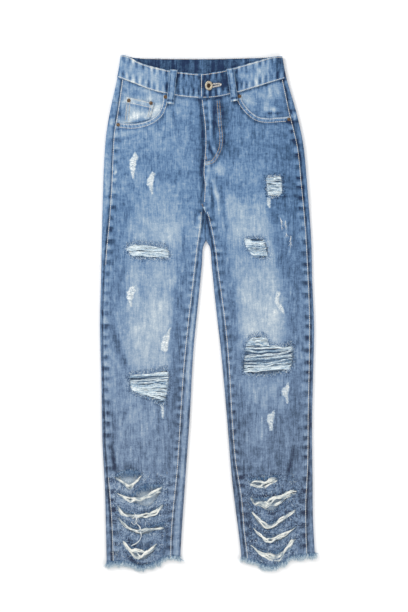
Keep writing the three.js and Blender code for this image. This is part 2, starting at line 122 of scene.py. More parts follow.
# edges and seams that run across, as y(x)
band_top_front = curve([
    (-172, 501), (-155, 497.6), (-136, 487), (-109, 478), (-75, 470.4), (-41, 465.8),
    (-14.5, 464), (8, 466.4), (34, 471), (63, 479), (96, 488.4), (124, 496.5), (148, 497.5),
])
band_bottom_front = curve([
    (-180, 458.8), (-147, 446.6), (-109, 432), (-77, 424.3), (-54, 420), (-14.5, 416.5),
    (14, 418), (42, 423.6), (63, 428.7), (96, 438.8), (129, 448.9), (158, 457),
])
band_top_back = curve([
    (-172, 501), (-155, 497.6), (-139, 494.6), (-6, 493.3), (100, 495.6), (124, 496.5),
    (148, 497.5),
])
band_bottom_back = curve([(-180, 458.8), (-147, 451.5), (-6, 447.3), (129, 451.5), (158, 457)])
yoke_seam = curve([(-210, 411.5), (-100, 396), (-9, 373), (90, 398), (190, 421.5)])
hem = {
    "right": curve([
        (-215, -488), (-175, -484), (-155, -486), (-134, -492.6), (-120, -491.6), (-99, -484),
        (-84, -475.6), (-70, -473.6), (-45, -478.6),
    ]),
    "left": curve([
        (50, -470.6), (76, -479), (93, -483), (107, -490.6), (128, -492), (145, -485),
        (161, -475.4), (185, -471), (215, -468),
    ]),
}
pocket_mouth = {
    "right": [
        (-87, 430), (-88, 412), (-91, 399), (-98, 386), (-112, 375.5), (-130, 369.2),
        (-150, 367), (-184, 370.6),
    ],
    "left": [
        (62, 432), (66, 414), (72, 404), (81, 393), (92, 384), (101, 380), (117, 378.2),
        (134, 379.4), (168, 381.6),
    ],
}
# slashes across the shins: the upper lip from end to end, the lower lip that sags below it, the
# line the white yarns lie along, and how thick they lie at its left end, middle and right end
slashes = {
    "slash_right_1": (
        [(-181, -318.5), (-169, -307), (-136, -306), (-128.5, -313.5)],
        [(-168, -327), (-152.5, -339), (-141, -328)],
        [(-180, -318), (-167, -325.5), (-152.6, -336), (-141, -327), (-128.5, -314)], (3, 4.5, 7)),
    "slash_right_2": (
        [(-178, -347), (-149, -351), (-127, -334), (-87, -333)],
        [(-162, -357), (-140, -368), (-114, -373), (-97, -354)],
        [(-177, -348.5), (-164, -355.5), (-148, -362.5), (-124, -357), (-101, -345.5), (-87, -338)],
        (4, 5.5, 7)),
    "slash_right_3": (
        [(-175.5, -375), (-152, -385), (-128, -389), (-84, -370)],
        [(-156, -392.5), (-128, -396.5), (-103, -388)],
        [(-175.5, -374), (-167, -385.5), (-147, -393.5), (-124, -392.5), (-104, -385.5),
         (-87, -371)],
        (7, 3, 10)),
    "slash_right_4": (
        [(-176, -394), (-156, -408), (-132, -417), (-108, -412), (-84.5, -405)],
        [(-156, -417.5), (-133, -428), (-110, -424), (-94, -414)],
        [(-175.5, -394), (-167, -405), (-152.6, -416.5), (-132.7, -423), (-112, -419),
         (-84.5, -415)],
        (3.5, 3.5, 6)),
    "slash_right_5": (
        [(-165, -441), (-145, -454), (-122, -458), (-100, -449)],
        [(-150, -466), (-132, -477.5), (-119, -473.5), (-106, -461)],
        [(-166, -442), (-157, -453.5), (-138.5, -467), (-121, -464.5), (-107, -456), (-99.5, -448)],
        (6, 9, 8)),
    "slash_left_1": (
        [(80, -323), (92, -320), (112, -318), (137.5, -314)],
        [(90, -334), (106, -337), (127, -326)],
        [(80.5, -330), (92, -331.5), (106.5, -331.5), (120.5, -327), (136.5, -320)], (6, 8, 7)),
    "slash_left_2": (
        [(82.5, -359), (106, -358), (135, -355.5), (156, -345.5), (172, -343.5)],
        [(101, -373), (123, -383), (135, -375), (155, -358)],
        [(82, -358.5), (92, -367), (109, -370.5), (126.5, -364), (143.5, -358.5), (158, -348.5),
         (172, -343.5)], (8, 8, 7)),
    "slash_left_3": (
        [(84, -384), (103, -398), (117, -406), (137, -400), (172, -378.5)],
        [(97, -406), (117, -419.5), (144, -405)],
        [(84.5, -385), (95, -397), (117.8, -414), (132, -405.5), (152, -392.5), (170, -381.5)],
        (7, 5, 4)),
    "slash_left_4": (
        [(87, -415), (104, -428), (121, -433), (145, -428), (169, -412.5)],
        [(101, -434), (121, -443), (147, -436)],
        [(87.5, -416), (98, -428), (120.6, -440.5), (137.7, -434), (150.5, -427), (170, -414.5)],
        (6, 5.5, 3)),
    "slash_left_5": (
        [(83, -449), (104, -459), (128, -463), (148, -453), (170, -435.5)],
        [(102, -468), (130, -474), (150, -462)],
        [(83.5, -449.5), (98, -462), (117.8, -471.5), (137.7, -473), (152, -457), (170, -435.5)],
        (6, 6, 9)),
}


def smooth(t):
    t = np.clip(t, 0, 1)
    return t * t * (3 - 2 * t)


def bump(t):
    """a soft hump one wide either side of nought"""
    return np.exp(-(t * t))


def noise(x, y, size, seed=0):
    """soft value noise from -1 to 1, with cells of a size in mm, or of (width, height)"""
    wide, high = size if isinstance(size, tuple) else (size, size)
    u, v = np.asarray(x, float) / wide, np.asarray(y, float) / high
    i, j = np.floor(u), np.floor(v)
    s, t = smooth(u - i), smooth(v - j)

    def at(a, b):
        wave = np.sin(a * 127.1 + b * 311.7 + seed * 74.7) * 43758.5453
        return (wave - np.floor(wave)) * 2 - 1

    low = at(i, j) * (1 - s) + at(i + 1, j) * s
    high = at(i, j + 1) * (1 - s) + at(i + 1, j + 1) * s
    return low * (1 - t) + high * t


def softened(points, step=2.6):
    """points at even steps along a soft line through the given ones"""
    p = np.array(points, float)
    run = np.concatenate([[0], np.cumsum(np.hypot(*np.diff(p, axis=0).T))])
    at = np.linspace(0, run[-1], max(3, int(run[-1] / step) + 1))
    return np.column_stack([curve(list(zip(run, p[:, k])))(at) for k in (0, 1)])


def line_distance(x, y, points):
    """distance to a line of points, and how far along it the nearest place is, from 0 to 1"""
    p = np.array(points, float)
    steps = np.hypot(*np.diff(p, axis=0).T)
    run = np.concatenate([[0], np.cumsum(steps)]) / steps.sum()
    best, share = np.full(np.shape(x), 1e9), np.zeros(np.shape(x))
    for k, (a, b) in enumerate(zip(p[:-1], p[1:])):
        d = b - a
        t = np.clip(((x - a[0]) * d[0] + (y - a[1]) * d[1]) / (d @ d), 0, 1)
        away = np.hypot(x - a[0] - t * d[0], y - a[1] - t * d[1])
        closer = away < best
        best = np.where(closer, away, best)
        share = np.where(closer, run[k] + t * (run[k + 1] - run[k]), share)
    return best, share


def underside(y):
    """height of the lowest face, which rests on the patch pockets and the rear belt loops"""
    return 1.6 * smooth((y - 185) / 50) + 0.8 * smooth((y - 395) / 40)


def closed(outline):
    return [*outline, outline[0]]


def arch(share, end=0.04, power=0.4):
    """a hump along a line, from one end to the other"""
    return np.sin(math.pi * np.clip(share, end, 1 - end)) ** power


def edge_distance(x, y):
    sides = np.minimum(x - side_edge["right"](y), side_edge["left"](y) - x)
    legs = np.where(x < FORK[0], inner_edge["right"](y) - x, x - inner_edge["left"](y))
    fork = np.hypot(x - FORK[0], y - FORK[1])
    return np.minimum(sides, np.where(y > FORK[1], fork, legs))


def crown(x, y):
    """height of the upper layer's outer face, as the solid has it, before its creases"""
    x, y = np.asarray(x, float), np.asarray(y, float)
    sag = SAG * smooth((edge_distance(x, y) - FOLD_R) / 30)
    return underside(y) + 2 * FOLD_R - sag


# Creases: the points of a line, its width, its height (a trough is negative), and how
# much paler it is along its top, partly worn and partly a painted highlight; a negative one
# is painted shade down a trough.
creases = [
    ([(-82, 407), (-74, 372), (-63, 333), (-60, 300)], 5, 0.9, 0.16),
    ([(-70, 407), (-62, 360)], 5, -0.6, -0.14),
    ([(-94, 400), (-92, 372), (-104, 352)], 4, -0.5, -0.14),
    ([(2, 412), (4, 372), (5.2, 333)], 2.4, 0.9, 0.42),
    ([(-3, 404), (-1, 372), (1, 340)], 2.4, -0.6, -0.24),
    ([(10, 412), (11.5, 372), (13, 330)], 2.6, -0.8, -0.34),
    ([(9, 395), (8, 350), (15, 322)], 2, 0.6, 0.2),
    ([(17, 408), (19, 372), (20, 340)], 2.2, 0.5, 0.16),
    ([(2, 332), (4, 318), (9, 306)], 3, -0.8, -0.36),
    ([(8, 326), (14, 314), (18, 306)], 2.6, 0.7, 0.36),
    ([(20, 330), (22, 314), (18, 296)], 2.4, -0.5, -0.2),
    ([(30, 410), (34, 365), (36, 330), (44, 300)], 5, -0.5, -0.12),
    ([(-1, 296), (0, 276), (-3, 246)], 2.6, 0.5, 0.2),
    ([(-8, 288), (-7, 262), (-6, 230)], 3, -0.5, -0.22),
    ([(15, 292), (19, 280), (24, 270)], 6, 0.4, 0.2),
    ([(7.3, 264), (12, 245), (18, 225), (21, 200)], 3.6, 1.0, 0.36),
    ([(3, 262), (7, 236), (10, 200), (12, 176)], 3.6, -1.0, -0.36),
    ([(20, 262), (27, 225), (33, 186), (39, 160)], 6, -1.2, -0.24),
    ([(4.7, 269), (35, 256), (70, 238)], 5, -0.5, -0.13),
    ([(-18.6, 212), (-22, 190), (-25, 163)], 4.5, -0.9, -0.24),
    ([(-14, 208), (-16, 186), (-19, 160)], 2.2, 0.6, 0.2),
    ([(-31, 216), (-36, 185), (-40, 150)], 7, 0.5, 0.1),
    ([(-45, 170), (-50, 130), (-58, 96)], 7, -0.4, -0.1),
    ([(-175, 344), (-150, 349), (-120, 362)], 5, 0.5, 0.16),
    ([(-174, 335), (-150, 341), (-118, 352)], 4, -0.4, -0.13),
    ([(-186, 5), (-182, -40), (-172, -76), (-152, -112)], 6.5, -1.3, -0.28),
    ([(-174, 0), (-168, -45), (-156, -80)], 7, 0.7, 0.08),
    ([(-186, -250), (-183, -285), (-177, -308)], 4.5, -1.7, -0.5),
    ([(-172, -262), (-168, -300)], 5, 0.5, 0.08),
    ([(168, -250), (160, -290), (151, -326)], 4.5, -1.2, -0.34),
    ([(160, -250), (151, -290), (143, -318)], 5, 0.6, 0.1),
    ([(-62, 82), (-52, 72), (-45, 50)], 5, -0.5, -0.1),
    ([(-78, 60), (-66, 66), (-50, 80)], 4, 0.4, 0.14),
    ([(95, 327), (130, 323), (172, 322)], 4, -0.3, -0.12),
    ([(104, 334), (136, 332), (168, 333)], 3.5, 0.3, 0.1),
    ([(120, 303), (150, 300), (178, 298)], 4, -0.3, -0.12),
    ([(130, 224), (158, 226), (182, 230)], 3.5, -0.4, -0.15),
    ([(-110, 264), (-70, 262), (-30, 268)], 7, -0.3, -0.1),
    ([(-178, 300), (-140, 296), (-100, 300)], 6, -0.2, -0.06),
    ([(-60, 272), (-30, 274), (-14, 270)], 4, -0.3, -0.1),
    ([(100, 396), (118, 402), (150, 398)], 5, -0.4, -0.1),
    ([(176, 60), (172, -20), (170, -80)], 6, -0.5, -0.12),
    ([(45, 60), (52, 10), (56, -50)], 6, -0.4, -0.1),
    ([(-150, -400), (-152, -440), (-148, -470)], 5, -0.5, -0.16),
]
# soft ridges between the slashes, where the cut cloth hangs in swags, with the same columns as
# the creases; how much paler they are is painted light: highlights on the swags, shade between
swags = [
    ([(-178, -333), (-160, -345), (-142, -346), (-118, -326)], 5, 1.2, 0.06),
    ([(-176, -364), (-155, -376), (-128, -382), (-96, -366)], 6, 1.3, 0.12),
    ([(-170, -366), (-148, -379), (-124, -386), (-104, -378)], 3, -0.9, -0.2),
    ([(-172, -384), (-152, -401), (-130, -407), (-100, -398)], 5, 1.1, 0.02),
    ([(-112, -390), (-98, -392), (-84, -386)], 4, -1.0, -0.26),
    ([(-170, -412), (-150, -433), (-128, -441), (-100, -430)], 6, 1.3, 0.08),
    ([(-166, -424), (-148, -445), (-124, -450), (-98, -440)], 4, -1.0, -0.24),
    ([(-160, -452), (-142, -478), (-124, -484), (-100, -470)], 4, 1.0, 0.06),
    ([(-160, -462), (-144, -481), (-128, -488), (-113, -483)], 3.2, -1.3, -0.46),
    ([(84, -344), (104, -349), (130, -341), (150, -334)], 6, 1.1, 0.08),
    ([(84, -352), (105, -356), (132, -350)], 3.5, -0.9, -0.24),
    ([(150, -350), (140, -366), (134, -376)], 4, -1.2, -0.34),
    ([(86, -372), (104, -391), (122, -397), (146, -384), (168, -366)], 6, 1.4, 0.1),
    ([(108, -376), (123, -388), (136, -381)], 3.5, -1.2, -0.42),
    ([(88, -402), (104, -420), (120, -427), (145, -416), (168, -398)], 5, 1.2, 0.06),
    ([(94, -404), (116, -421), (140, -410)], 3, -0.8, -0.2),
    ([(88, -430), (104, -446), (122, -453), (148, -444), (168, -426)], 6, 1.3, 0.08),
    ([(98, -436), (120, -447), (146, -440)], 3, -0.8, -0.22),
    ([(86, -456), (104, -474), (126, -481), (150, -470), (166, -452)], 5, 1.1, 0.06),
    ([(-186, -330), (-182, -380), (-180, -450)], 6, 0.4, -0.06),
    ([(-80, -330), (-77, -390), (-80, -455)], 6, 0.5, -0.12),
    ([(78, -340), (80, -400), (84, -460)], 5, -0.3, -0.1),
]
fly_curve = [(19.8, 412), (22.9, 366), (25.2, 343), (23.7, 321), (16.5, 304.5), (8.5, 294),
             (-5, 290)]


def seam_lines():
    """the long seams on top: x(y), the side its front panel is on, its ends, dark and pale"""
    yield side_seam["right"], 1, -490, 457, 0.46, 0.16, 21
    yield side_seam["left"], -1, -480, 457, 0.46, 0.2, 21
    yield inseam["right"], -1, -490, 206, 0.24, 0.24, 17
    yield inseam["left"], 1, -490, 206, 0.3, 0.2, 18


def seam_relief(x, y):
    """height of the seams' ridges and puckers, and how pale or dark they are: worn puckers, with
    painted shadow lines beside the seams, the fly and the roped hems
    """
    high, wear_and_shading = np.zeros(np.shape(x)), np.zeros(np.shape(x))
    for n, (seam, side, low_y, high_y, dark, pale, period) in enumerate(seam_lines()):
        d = (x - seam(y)) * side
        on = smooth((y - low_y) / 8) * smooth((high_y - y) / 8)
        phase = 2 * math.pi * y / period + 1.4 * noise(y, y * 0, 34, n) + n
        wave = np.sin(phase + 0.7 * np.sin(phase))
        change = 0.75 + 0.35 * noise(y, y * 0 + 9, 23, n + 5)
        high += on * (bump((d - 5) / 3.6) * (0.5 + 0.5 * wave * change) - 0.8 * bump(d / 1.1))
        pit, rise = smooth((-wave + 0.1) / 0.6), smooth((wave + 0.1) / 0.8)
        reach = 1 + 0.45 * noise(y, y * 0 + 4, 17, n + 8)
        wear_and_shading += on * change * (pale * rise - dark * pit) * bump((d - 5.6) / (6.2 * reach))
        # a pale worn line on the front panel's side of each seam, and a painted shadow line on the
        # other side
        wear_and_shading += on * (0.13 * bump((d - 2.2) / 1.6) - 0.34 * bump((d + 1.3) / 1.5))
    d = x - centre_front(y)
    fly = smooth((y - 215) / 15) * smooth((418 - y) / 4)
    high += fly * (1.1 * smooth(d / 1.2) * smooth((24 - d) / 7) - 0.6 * bump((d + 1.5) / 1.5))
    # the fly's edge is worn paler, and beside it on the right panel a painted shadow falls
    wear_and_shading += fly * (0.2 * bump((d - 1.4) / 1.6) - 0.34 * bump((d + 3.4) / 3.6))
    ripple = np.sin(2 * math.pi * y / 13 + 1.5 * noise(y, y * 0, 30, 21))
    wear_and_shading += fly * 0.12 * ripple * bump((d - 5) / 5)
    high += fly * 0.25 * ripple * bump((d - 5) / 5)
    rise = smooth((y - 141) / 8) * smooth((222 - y) / 10)
    high += rise * (0.9 * smooth(d / 1.2) * smooth((12 - d) / 6))
    # the hems of the pocket mouths and the curve of the fly are roped between their two rows
    for line, off, period, seed in (
        (pocket_mouth["right"], 5, 7, 22), (pocket_mouth["left"], 5, 7, 23),
        (fly_curve, 0, 7.5, 24),
    ):
        near = (x > np.min(line, axis=0)[0] - 14) & (x < np.max(line, axis=0)[0] + 14)
        near &= (y > np.min(line, axis=0)[1] - 16) & (y < 430)
        away, share = line_distance(x, y, softened(line, 4))
        long = np.hypot(*np.diff(np.array(line, float), axis=0).T).sum()
        wave = np.sin(2 * math.pi * share * long / period + away * 0.35 + seed
                      + 1.3 * noise(share * long, share * 0, 19, seed))
        uneven = 0.65 + 0.5 * noise(x, y, 16, seed + 4)
        band = near * bump((away - off) / 3.6) * uneven
        high += 0.45 * band * wave
        # painted shadow: a dark line about 6 mm past each roped row
        wear_and_shading += band * (0.28 * wave + 0.06) - near * 0.24 * bump((away - off - 6) / 2.6)
        wear_and_shading += near * 0.3 * bump((away - 0.5) / 1.6) if off else 0
    return high, wear_and_shading


def slash_relief(x, y):
    """the lips of the slashes: the lower one rolls up, and the upper one sinks; their colour is
    painted light, a painted highlight along the rolled lip and painted shadow along the sunk one
    """
    high, wear_and_shading, rough = np.zeros(np.shape(x)), np.zeros(np.shape(x)), np.zeros(np.shape(x))
    for upper, lower, _, _ in slashes.values():
        line = softened([upper[0], *lower, upper[-1]], 4)
        d, share = line_distance(x, y, line)
        rolled = arch(share, 0, 0.5)
        high += 0.9 * (bump((d - 3) / 3.5) * rolled)
        wear_and_shading += 0.13 * bump((d - 2) / 2.5) * rolled
        top, share = line_distance(x, y, softened(upper, 4))
        sunk = arch(share, 0, 0.5)
        high -= 0.5 * bump(top / 4) * sunk
        wear_and_shading -= 0.14 * bump((top - 2) / 3) * sunk
        rough = np.maximum(rough, bump(d / 13))
    zone = smooth((-300 - y) / 20)
    return high * zone, wear_and_shading * zone, np.clip(rough * 1.3, 0, 1) * zone


def relief(x, y):
    """everything that stands over or under the crown, in mm"""
    high = seam_relief(x, y)[0] + slash_relief(x, y)[0]
    for points, wide, tall, _ in creases + swags:
        d, share = line_distance(x, y, softened(points, 6))
        high = high + tall * bump(d / wide) * arch(share)
    shin = smooth((-300 - y) / 20)
    high = high + 0.35 * noise(x, y, (60, 90), 3) + 0.22 * noise(x, y, (18, 34), 4)
    high = high + shin * (0.35 * noise(x, y, (14, 8), 6) + 0.22 * noise(x, y, 5, 7))
    return np.clip(high, -2.0, 2.6)


# how far the blue has washed out down the middle of each leg and at its two edges, from 0 (dark)
# to 1 (nearly white), with the middle's place and half-width
faded = {
    "right": {
        "middle": curve([
            (430, 0.42), (330, 0.42), (280, 0.42), (235, 0.46), (195, 0.56), (165, 0.58),
            (125, 0.6), (60, 0.62), (20, 0.68), (-30, 0.7), (-90, 0.66), (-112, 0.56),
            (-190, 0.39), (-250, 0.33), (-300, 0.29), (-400, 0.28), (-490, 0.26)]),
        "outer": curve([
            (430, 0.46), (340, 0.42), (230, 0.42), (130, 0.36), (20, 0.44), (-100, 0.44),
            (-200, 0.38), (-300, 0.3), (-490, 0.26)]),
        "inner": curve([
            (430, 0.34), (330, 0.33), (230, 0.38), (130, 0.42), (20, 0.35), (-100, 0.3),
            (-200, 0.19), (-300, 0.2), (-490, 0.24)]),
        "at": curve([(430, -90), (165, -97), (20, -112), (-100, -113), (-260, -120)]),
        "half": curve([(430, 60), (230, 52), (165, 48), (20, 42), (-100, 40), (-260, 42)]),
    },
    "left": {
        "middle": curve([
            (430, 0.28), (330, 0.3), (280, 0.36), (235, 0.44), (190, 0.6), (165, 0.64),
            (140, 0.56), (80, 0.64), (20, 0.74), (-30, 0.78), (-52, 0.7), (-118, 0.46),
            (-165, 0.39), (-215, 0.29), (-262, 0.24), (-300, 0.2), (-400, 0.18), (-490, 0.2)]),
        "outer": curve([
            (430, 0.3), (330, 0.26), (230, 0.27), (130, 0.25), (20, 0.34), (-100, 0.32),
            (-300, 0.17), (-490, 0.2)]),
        "inner": curve([
            (430, 0.27), (330, 0.3), (240, 0.42), (130, 0.32), (20, 0.32), (-100, 0.28),
            (-200, 0.18), (-300, 0.2), (-490, 0.24)]),
        "at": curve([(430, 100), (230, 78), (165, 78), (20, 100), (-60, 103), (-200, 113)]),
        "half": curve([(430, 60), (230, 42), (165, 44), (20, 44), (-60, 42), (-200, 44)]),
    },
}
# washed or dark places, and painted shadows at the front belt loops: centre, half-sizes, turn in
# degrees, and how much paler
patches = [
    (-13, 214, 3, 9, 0, -0.34), (-5, 204, 4, 4, 0, 0.3), (-1, 190, 7, 20, 0, -0.2),
    (-15, 196, 3, 8, 0, -0.26), (-14, 318, 7, 72, 0, -0.12), (9, 356, 8, 60, 0, -0.2),
    (52, 262, 30, 34, 0, 0.06), (-40, 236, 26, 9, 0, -0.08), (-142, 352, 34, 9, 8, 0.1),
    (-110, 334, 30, 20, 0, 0.04), (28, 352, 6, 46, 0, -0.06), (40, 392, 12, 22, 0, -0.03),
    (120, 352, 44, 9, 0, 0.02), (150, 262, 30, 12, 0, -0.06), (96, 262, 16, 20, 0, -0.03),
    (34, 226, 20, 26, -20, 0.09), (62, 205, 24, 18, 0, 0.08), (-183, 118, 10, 42, 0, -0.12),
    (-64, 152, 26, 26, 0, 0.1), (-44, 120, 10, 60, 6, -0.05), (-172, 50, 8, 60, 0, -0.06),
    (-128, 90, 30, 12, 0, -0.08), (-95, 20, 22, 26, 0, 0.05), (-55, 20, 12, 40, 8, -0.1),
    (-60, -60, 10, 60, 0, -0.08), (-140, -60, 12, 34, 0, 0.05), (28, 100, 12, 60, 8, -0.08),
    (150, 100, 18, 40, 0, -0.05), (60, 40, 12, 60, 0, -0.05), (90, 96, 34, 8, 0, -0.06),
    (128, -30, 16, 20, 0, -0.03), (160, -30, 18, 60, 0, -0.05), (120, -122, 40, 7, 0, -0.12),
    (-118, -186, 34, 10, 0, -0.05), (-150, -235, 18, 50, 0, 0.05), (-95, -250, 14, 60, 0, -0.04),
    (98, -190, 12, 40, 0, 0.06), (140, -190, 10, 30, 0, 0.05), (170, -190, 14, 70, 0, -0.05),
    (75, -230, 12, 60, 0, -0.06), (-195, 280, 8, 20, 0, 0.12), (-192, 252, 8, 14, 0, 0.12),
    (-178, 442, 8, 12, 0, 0.05), (-140, -300, 30, 8, 0, -0.05), (110, -300, 34, 8, 0, -0.06),
    # the next five are painted shadows beside and below the feet of the front belt loops
    (-81, 410, 3, 10, 0, -0.25), (-65.5, 412, 3, 9, 0, -0.2), (58, 413, 3, 10, 0, -0.25),
    (-72, 402.5, 9, 2, 0, -0.3), (52, 407.5, 9, 2, 0, -0.3), (-118, -265, 44, 26, 0, -0.05),
]
# small spots worn through to the white filling: outline, and how white
abrasions = [
    ([(-142, 312), (-137, 305), (-135, 300), (-139, 295), (-139.5, 287), (-142, 278), (-143.5, 268),
      (-145, 259), (-147, 266), (-149, 275), (-152, 282), (-151, 293), (-150, 300),
      (-146, 304)], 1.1),
    ([(-107, 274), (-102, 270), (-105, 261), (-105.6, 254), (-107.5, 246), (-107, 231),
      (-109.5, 230), (-111.4, 237), (-115, 246), (-118.6, 250), (-118, 258), (-113, 267)], 1.02),
    ([(-184, 270), (-181, 276), (-176, 278), (-177, 273), (-181, 268)], 0.85),
    ([(-185, 256), (-181, 262), (-178, 262), (-180, 252)], 0.75),
    ([(-151, 52), (-142.5, 51), (-141.4, 42), (-146, 32), (-147.5, 21), (-147, 13), (-150, 12),
      (-153.5, 24), (-157.5, 32), (-157, 41), (-153, 46)], 1.08),
    ([(-72.3, -27.6), (-75, -44), (-77, -59), (-78, -72), (-82, -74), (-91, -72), (-91, -62),
      (-87.5, -52), (-87.4, -45), (-79.6, -41), (-76, -31)], 1.1),
    ([(134.7, 43), (140, 39), (137.3, 31), (137.5, 21), (144, 13), (147.7, 3), (146.4, -2),
      (142, 5), (134.7, 13), (130.3, 21), (131.4, 34)], 1.08),
    ([(155.5, -136), (157, -145), (154, -158), (155.5, -174), (153, -175), (150.3, -163),
      (143.8, -158), (143.8, -146), (150.3, -141)], 1.02),
    ([(128, -187), (128.5, -202), (125, -214), (126, -228), (120, -227), (117, -214), (115, -207),
      (116.5, -197), (123, -194)], 0.98),
    ([(-91, -173.6), (-86, -181), (-84.8, -194), (-86, -205), (-88.7, -202), (-90.5, -189)], 0.95),
    ([(114.5, 224), (121, 224), (120.6, 204), (118.6, 204), (114.5, 211)], 1.02),
]
# thin vertical scratches: from, to
scratches = [
    ((140, 187), (143.5, 157)), ((150, 181), (152.5, 143)), ((160.5, 151), (160.4, 127)),
    ((-150, -254), (-149, -290)), ((-128, -212), (-128.5, -246)), ((104, -196), (104.5, -250)),
    ((92, -150), (92, -176)), ((-118, -208), (-118, -236)),
]


def inside(points, outline):
    """which points lie inside a closed outline"""
    x, y = points[:, 0], points[:, 1]
    result = np.zeros(len(points), bool)
    ends = np.roll(outline, -1, axis=0)
    for (x0, y0), (x1, y1) in zip(outline, ends):
        if y0 == y1:
            continue
        crosses = (y0 > y) != (y1 > y)
        result ^= crosses & (x < (x1 - x0) * (y - y0) / (y1 - y0) + x0)
    return result


def spot_cover(x, y, outline):
    """one inside a worn spot, falling to nought just past its ragged edge, and its soft rim"""
    p = np.array(outline, float)
    low, high = p.min(0) - 7, p.max(0) + 7
    near = (x > low[0]) & (x < high[0]) & (y > low[1]) & (y < high[1])
    cover, rim = np.zeros(np.shape(x)), np.zeros(np.shape(x))
    if near.any():
        u, v = x[near], y[near]
        d, _ = line_distance(u, v, closed(outline))
        signed = np.where(inside(np.column_stack([u, v]), p), d, -d)
        signed = signed + 0.9 * noise(u, v, (2.4, 4), 33)
        cover[near] = smooth(signed / 1.8 + 0.55)
        rim[near] = bump((signed + 2.2) / 2.2)
    return cover, rim


def upper_fade_and_shade(x, y):
    """how pale the upper side is, from its fading and worn places and from painted shade and
    highlights along seams, creases, swags, slash lips and the band's edge, and how speckled with
    raised white fibres
    """
    x, y = np.asarray(x, float), np.asarray(y, float)
    out = np.zeros(np.shape(x))
    for side in ("right", "left"):
        f = faded[side]
        away = x - f["at"](y)
        flat = smooth((f["half"](y) + 14 - np.abs(away)) / 30)
        outward = away < 0 if side == "right" else away > 0
        value = np.where(outward, f["outer"](y), f["inner"](y))
        value = value + (f["middle"](y) - value) * flat
        mine = smooth((FORK[0] - x) / 16 + 0.5)
        out = out + value * (mine if side == "right" else 1 - mine)
    for at_x, at_y, wide, tall, turn, more in patches:
        c, s = math.cos(math.radians(turn)), math.sin(math.radians(turn))
        u, v = (x - at_x) * c + (y - at_y) * s, (y - at_y) * c - (x - at_x) * s
        out = out + more * bump(np.hypot(u / wide, v / tall))
    # painted highlights and painted shade along the creases and swags, with the crease ridges
    # partly worn
    for points, wide, _, more in creases + swags:
        d, share = line_distance(x, y, softened(points, 6))
        out = out + more * bump(d / wide) * arch(share)
    _, slash_shading, rough = slash_relief(x, y)
    out = out + seam_relief(x, y)[1] + slash_shading
    drift_x, drift_y = x + 7 * noise(x, y, 31, 16), y + 9 * noise(x, y, 37, 17)
    out = out + 0.08 * noise(drift_x, drift_y, (21, 40), 11) + 0.08 * noise(drift_x, y, (7, 15), 12)
    out = out + 0.075 * noise(x, drift_y, (11, 5), 13) * (0.3 + 0.7 * smooth((y - 150) / 60))
    # a painted shadow along the waistband's lower edge, and a slightly paler strip below it
    under_seam = band_bottom_front(x) - y - 2
    out = out - 0.26 * bump(under_seam / 2.4) + 0.08 * bump((under_seam - 8) / 4)
    shin = smooth((-290 - y) / 25)
    out = out + shin * (0.09 * noise(drift_x, y, (7, 5), 14) + 0.07 * noise(x, y, (22, 12), 15))
    for outline, white in abrasions:
        cover, rim = spot_cover(x, y, outline)
        out = out + (white - out) * cover - 0.07 * rim
    for (x0, y0), (x1, y1) in scratches:
        d, share = line_distance(x, y, [(x0, y0), (x1, y1)])
        out = out + 0.3 * bump(d / 1.3) * smooth(np.sin(math.pi * share) * 2)
    for rip in rips.values():
        d, _ = line_distance(x, y, closed(rip["outline"]))
        fringe = bump((d - 4) / 4.5) * (0.75 + 0.5 * noise(x, y, 5, 31))
        out = out - 0.2 * fringe + 0.12 * bump(d / 1.3)
        rough = np.maximum(rough, 0.9 * bump(d / 8))
    return out, np.clip(rough + 0.22, 0, 1)


# The rips: outline, and bundles of the white filling yarns that still cross each one. A bundle
# is (y at its left end, y at its right end, its height, how far its middle sags).
rips = {
    "rip_hip_left": {
        "outline": [(113.5, 262.5), (127, 264.2), (140, 264.4), (141.4, 231), (118.5, 225.5)],
        "bundles": [(260, 261, 5, 0), (254, 253, 6, 0), (247, 247, 5, 1), (241, 240, 6, 0),
                    (234, 236, 5, 0), (229, 232, 4, 0)],
    },
    "rip_thigh_right": {
        "outline": [(-158.5, 125.5), (-143, 131.4), (-112, 130), (-78, 122.5), (-76.8, 108),
                    (-112, 107.5), (-146, 110.8)],
        "bundles": [(129, 127, 5, 0), (126, 122, 5, 1), (121, 118, 5, 2), (117, 113, 4, 2),
                    (113, 110, 4, 1)],
    },
    "rip_thigh_left": {
        "outline": [(72, 142.6), (107, 141.4), (114.6, 108), (89, 110.8), (76, 128)],
        "bundles": [(141, 140, 7, 0), (135, 135, 7, 1), (129, 129, 6, 1), (123, 122, 6, 2),
                    (119, 115, 6, 1), (114, 110, 5, 0)],
    },
    "rip_knee_right": {
        "outline": [(-152.5, -122), (-115, -118.5), (-78.4, -113), (-79.8, -149),
                    (-87.5, -175.5), (-115, -162.5), (-146.5, -150)],
        "bundles": [(-121, -116, 9, 0), (-131, -123, 3, 2), (-135, -129, 4, 2),
                    (-140, -135, 5, 2), (-144, -142, 6, 2), (-148, -150, 6, 2),
                    (-150, -158, 6, 2), (-152, -167, 6, 0)],
    },
    "rip_knee_left": {
        "outline": [(73.5, -66), (79.5, -52.5), (98, -45.4), (113, -51), (120, -65), (140, -67.5),
                    (162.6, -63), (158.5, -108), (72, -114.6)],
        "bundles": [(-49, -49, 4, 0), (-54, -54, 8, 0), (-61, -60, 6, 0), (-68, -66, 3, 0),
                    (-73, -69, 3, 2), (-84, -72, 2, 3), (-90, -80, 4, 2), (-98, -88, 2, 2),
                    (-104, -94, 4, 1), (-111, -101, 6, 0), (-113, -106, 4, 0)],
    },
}


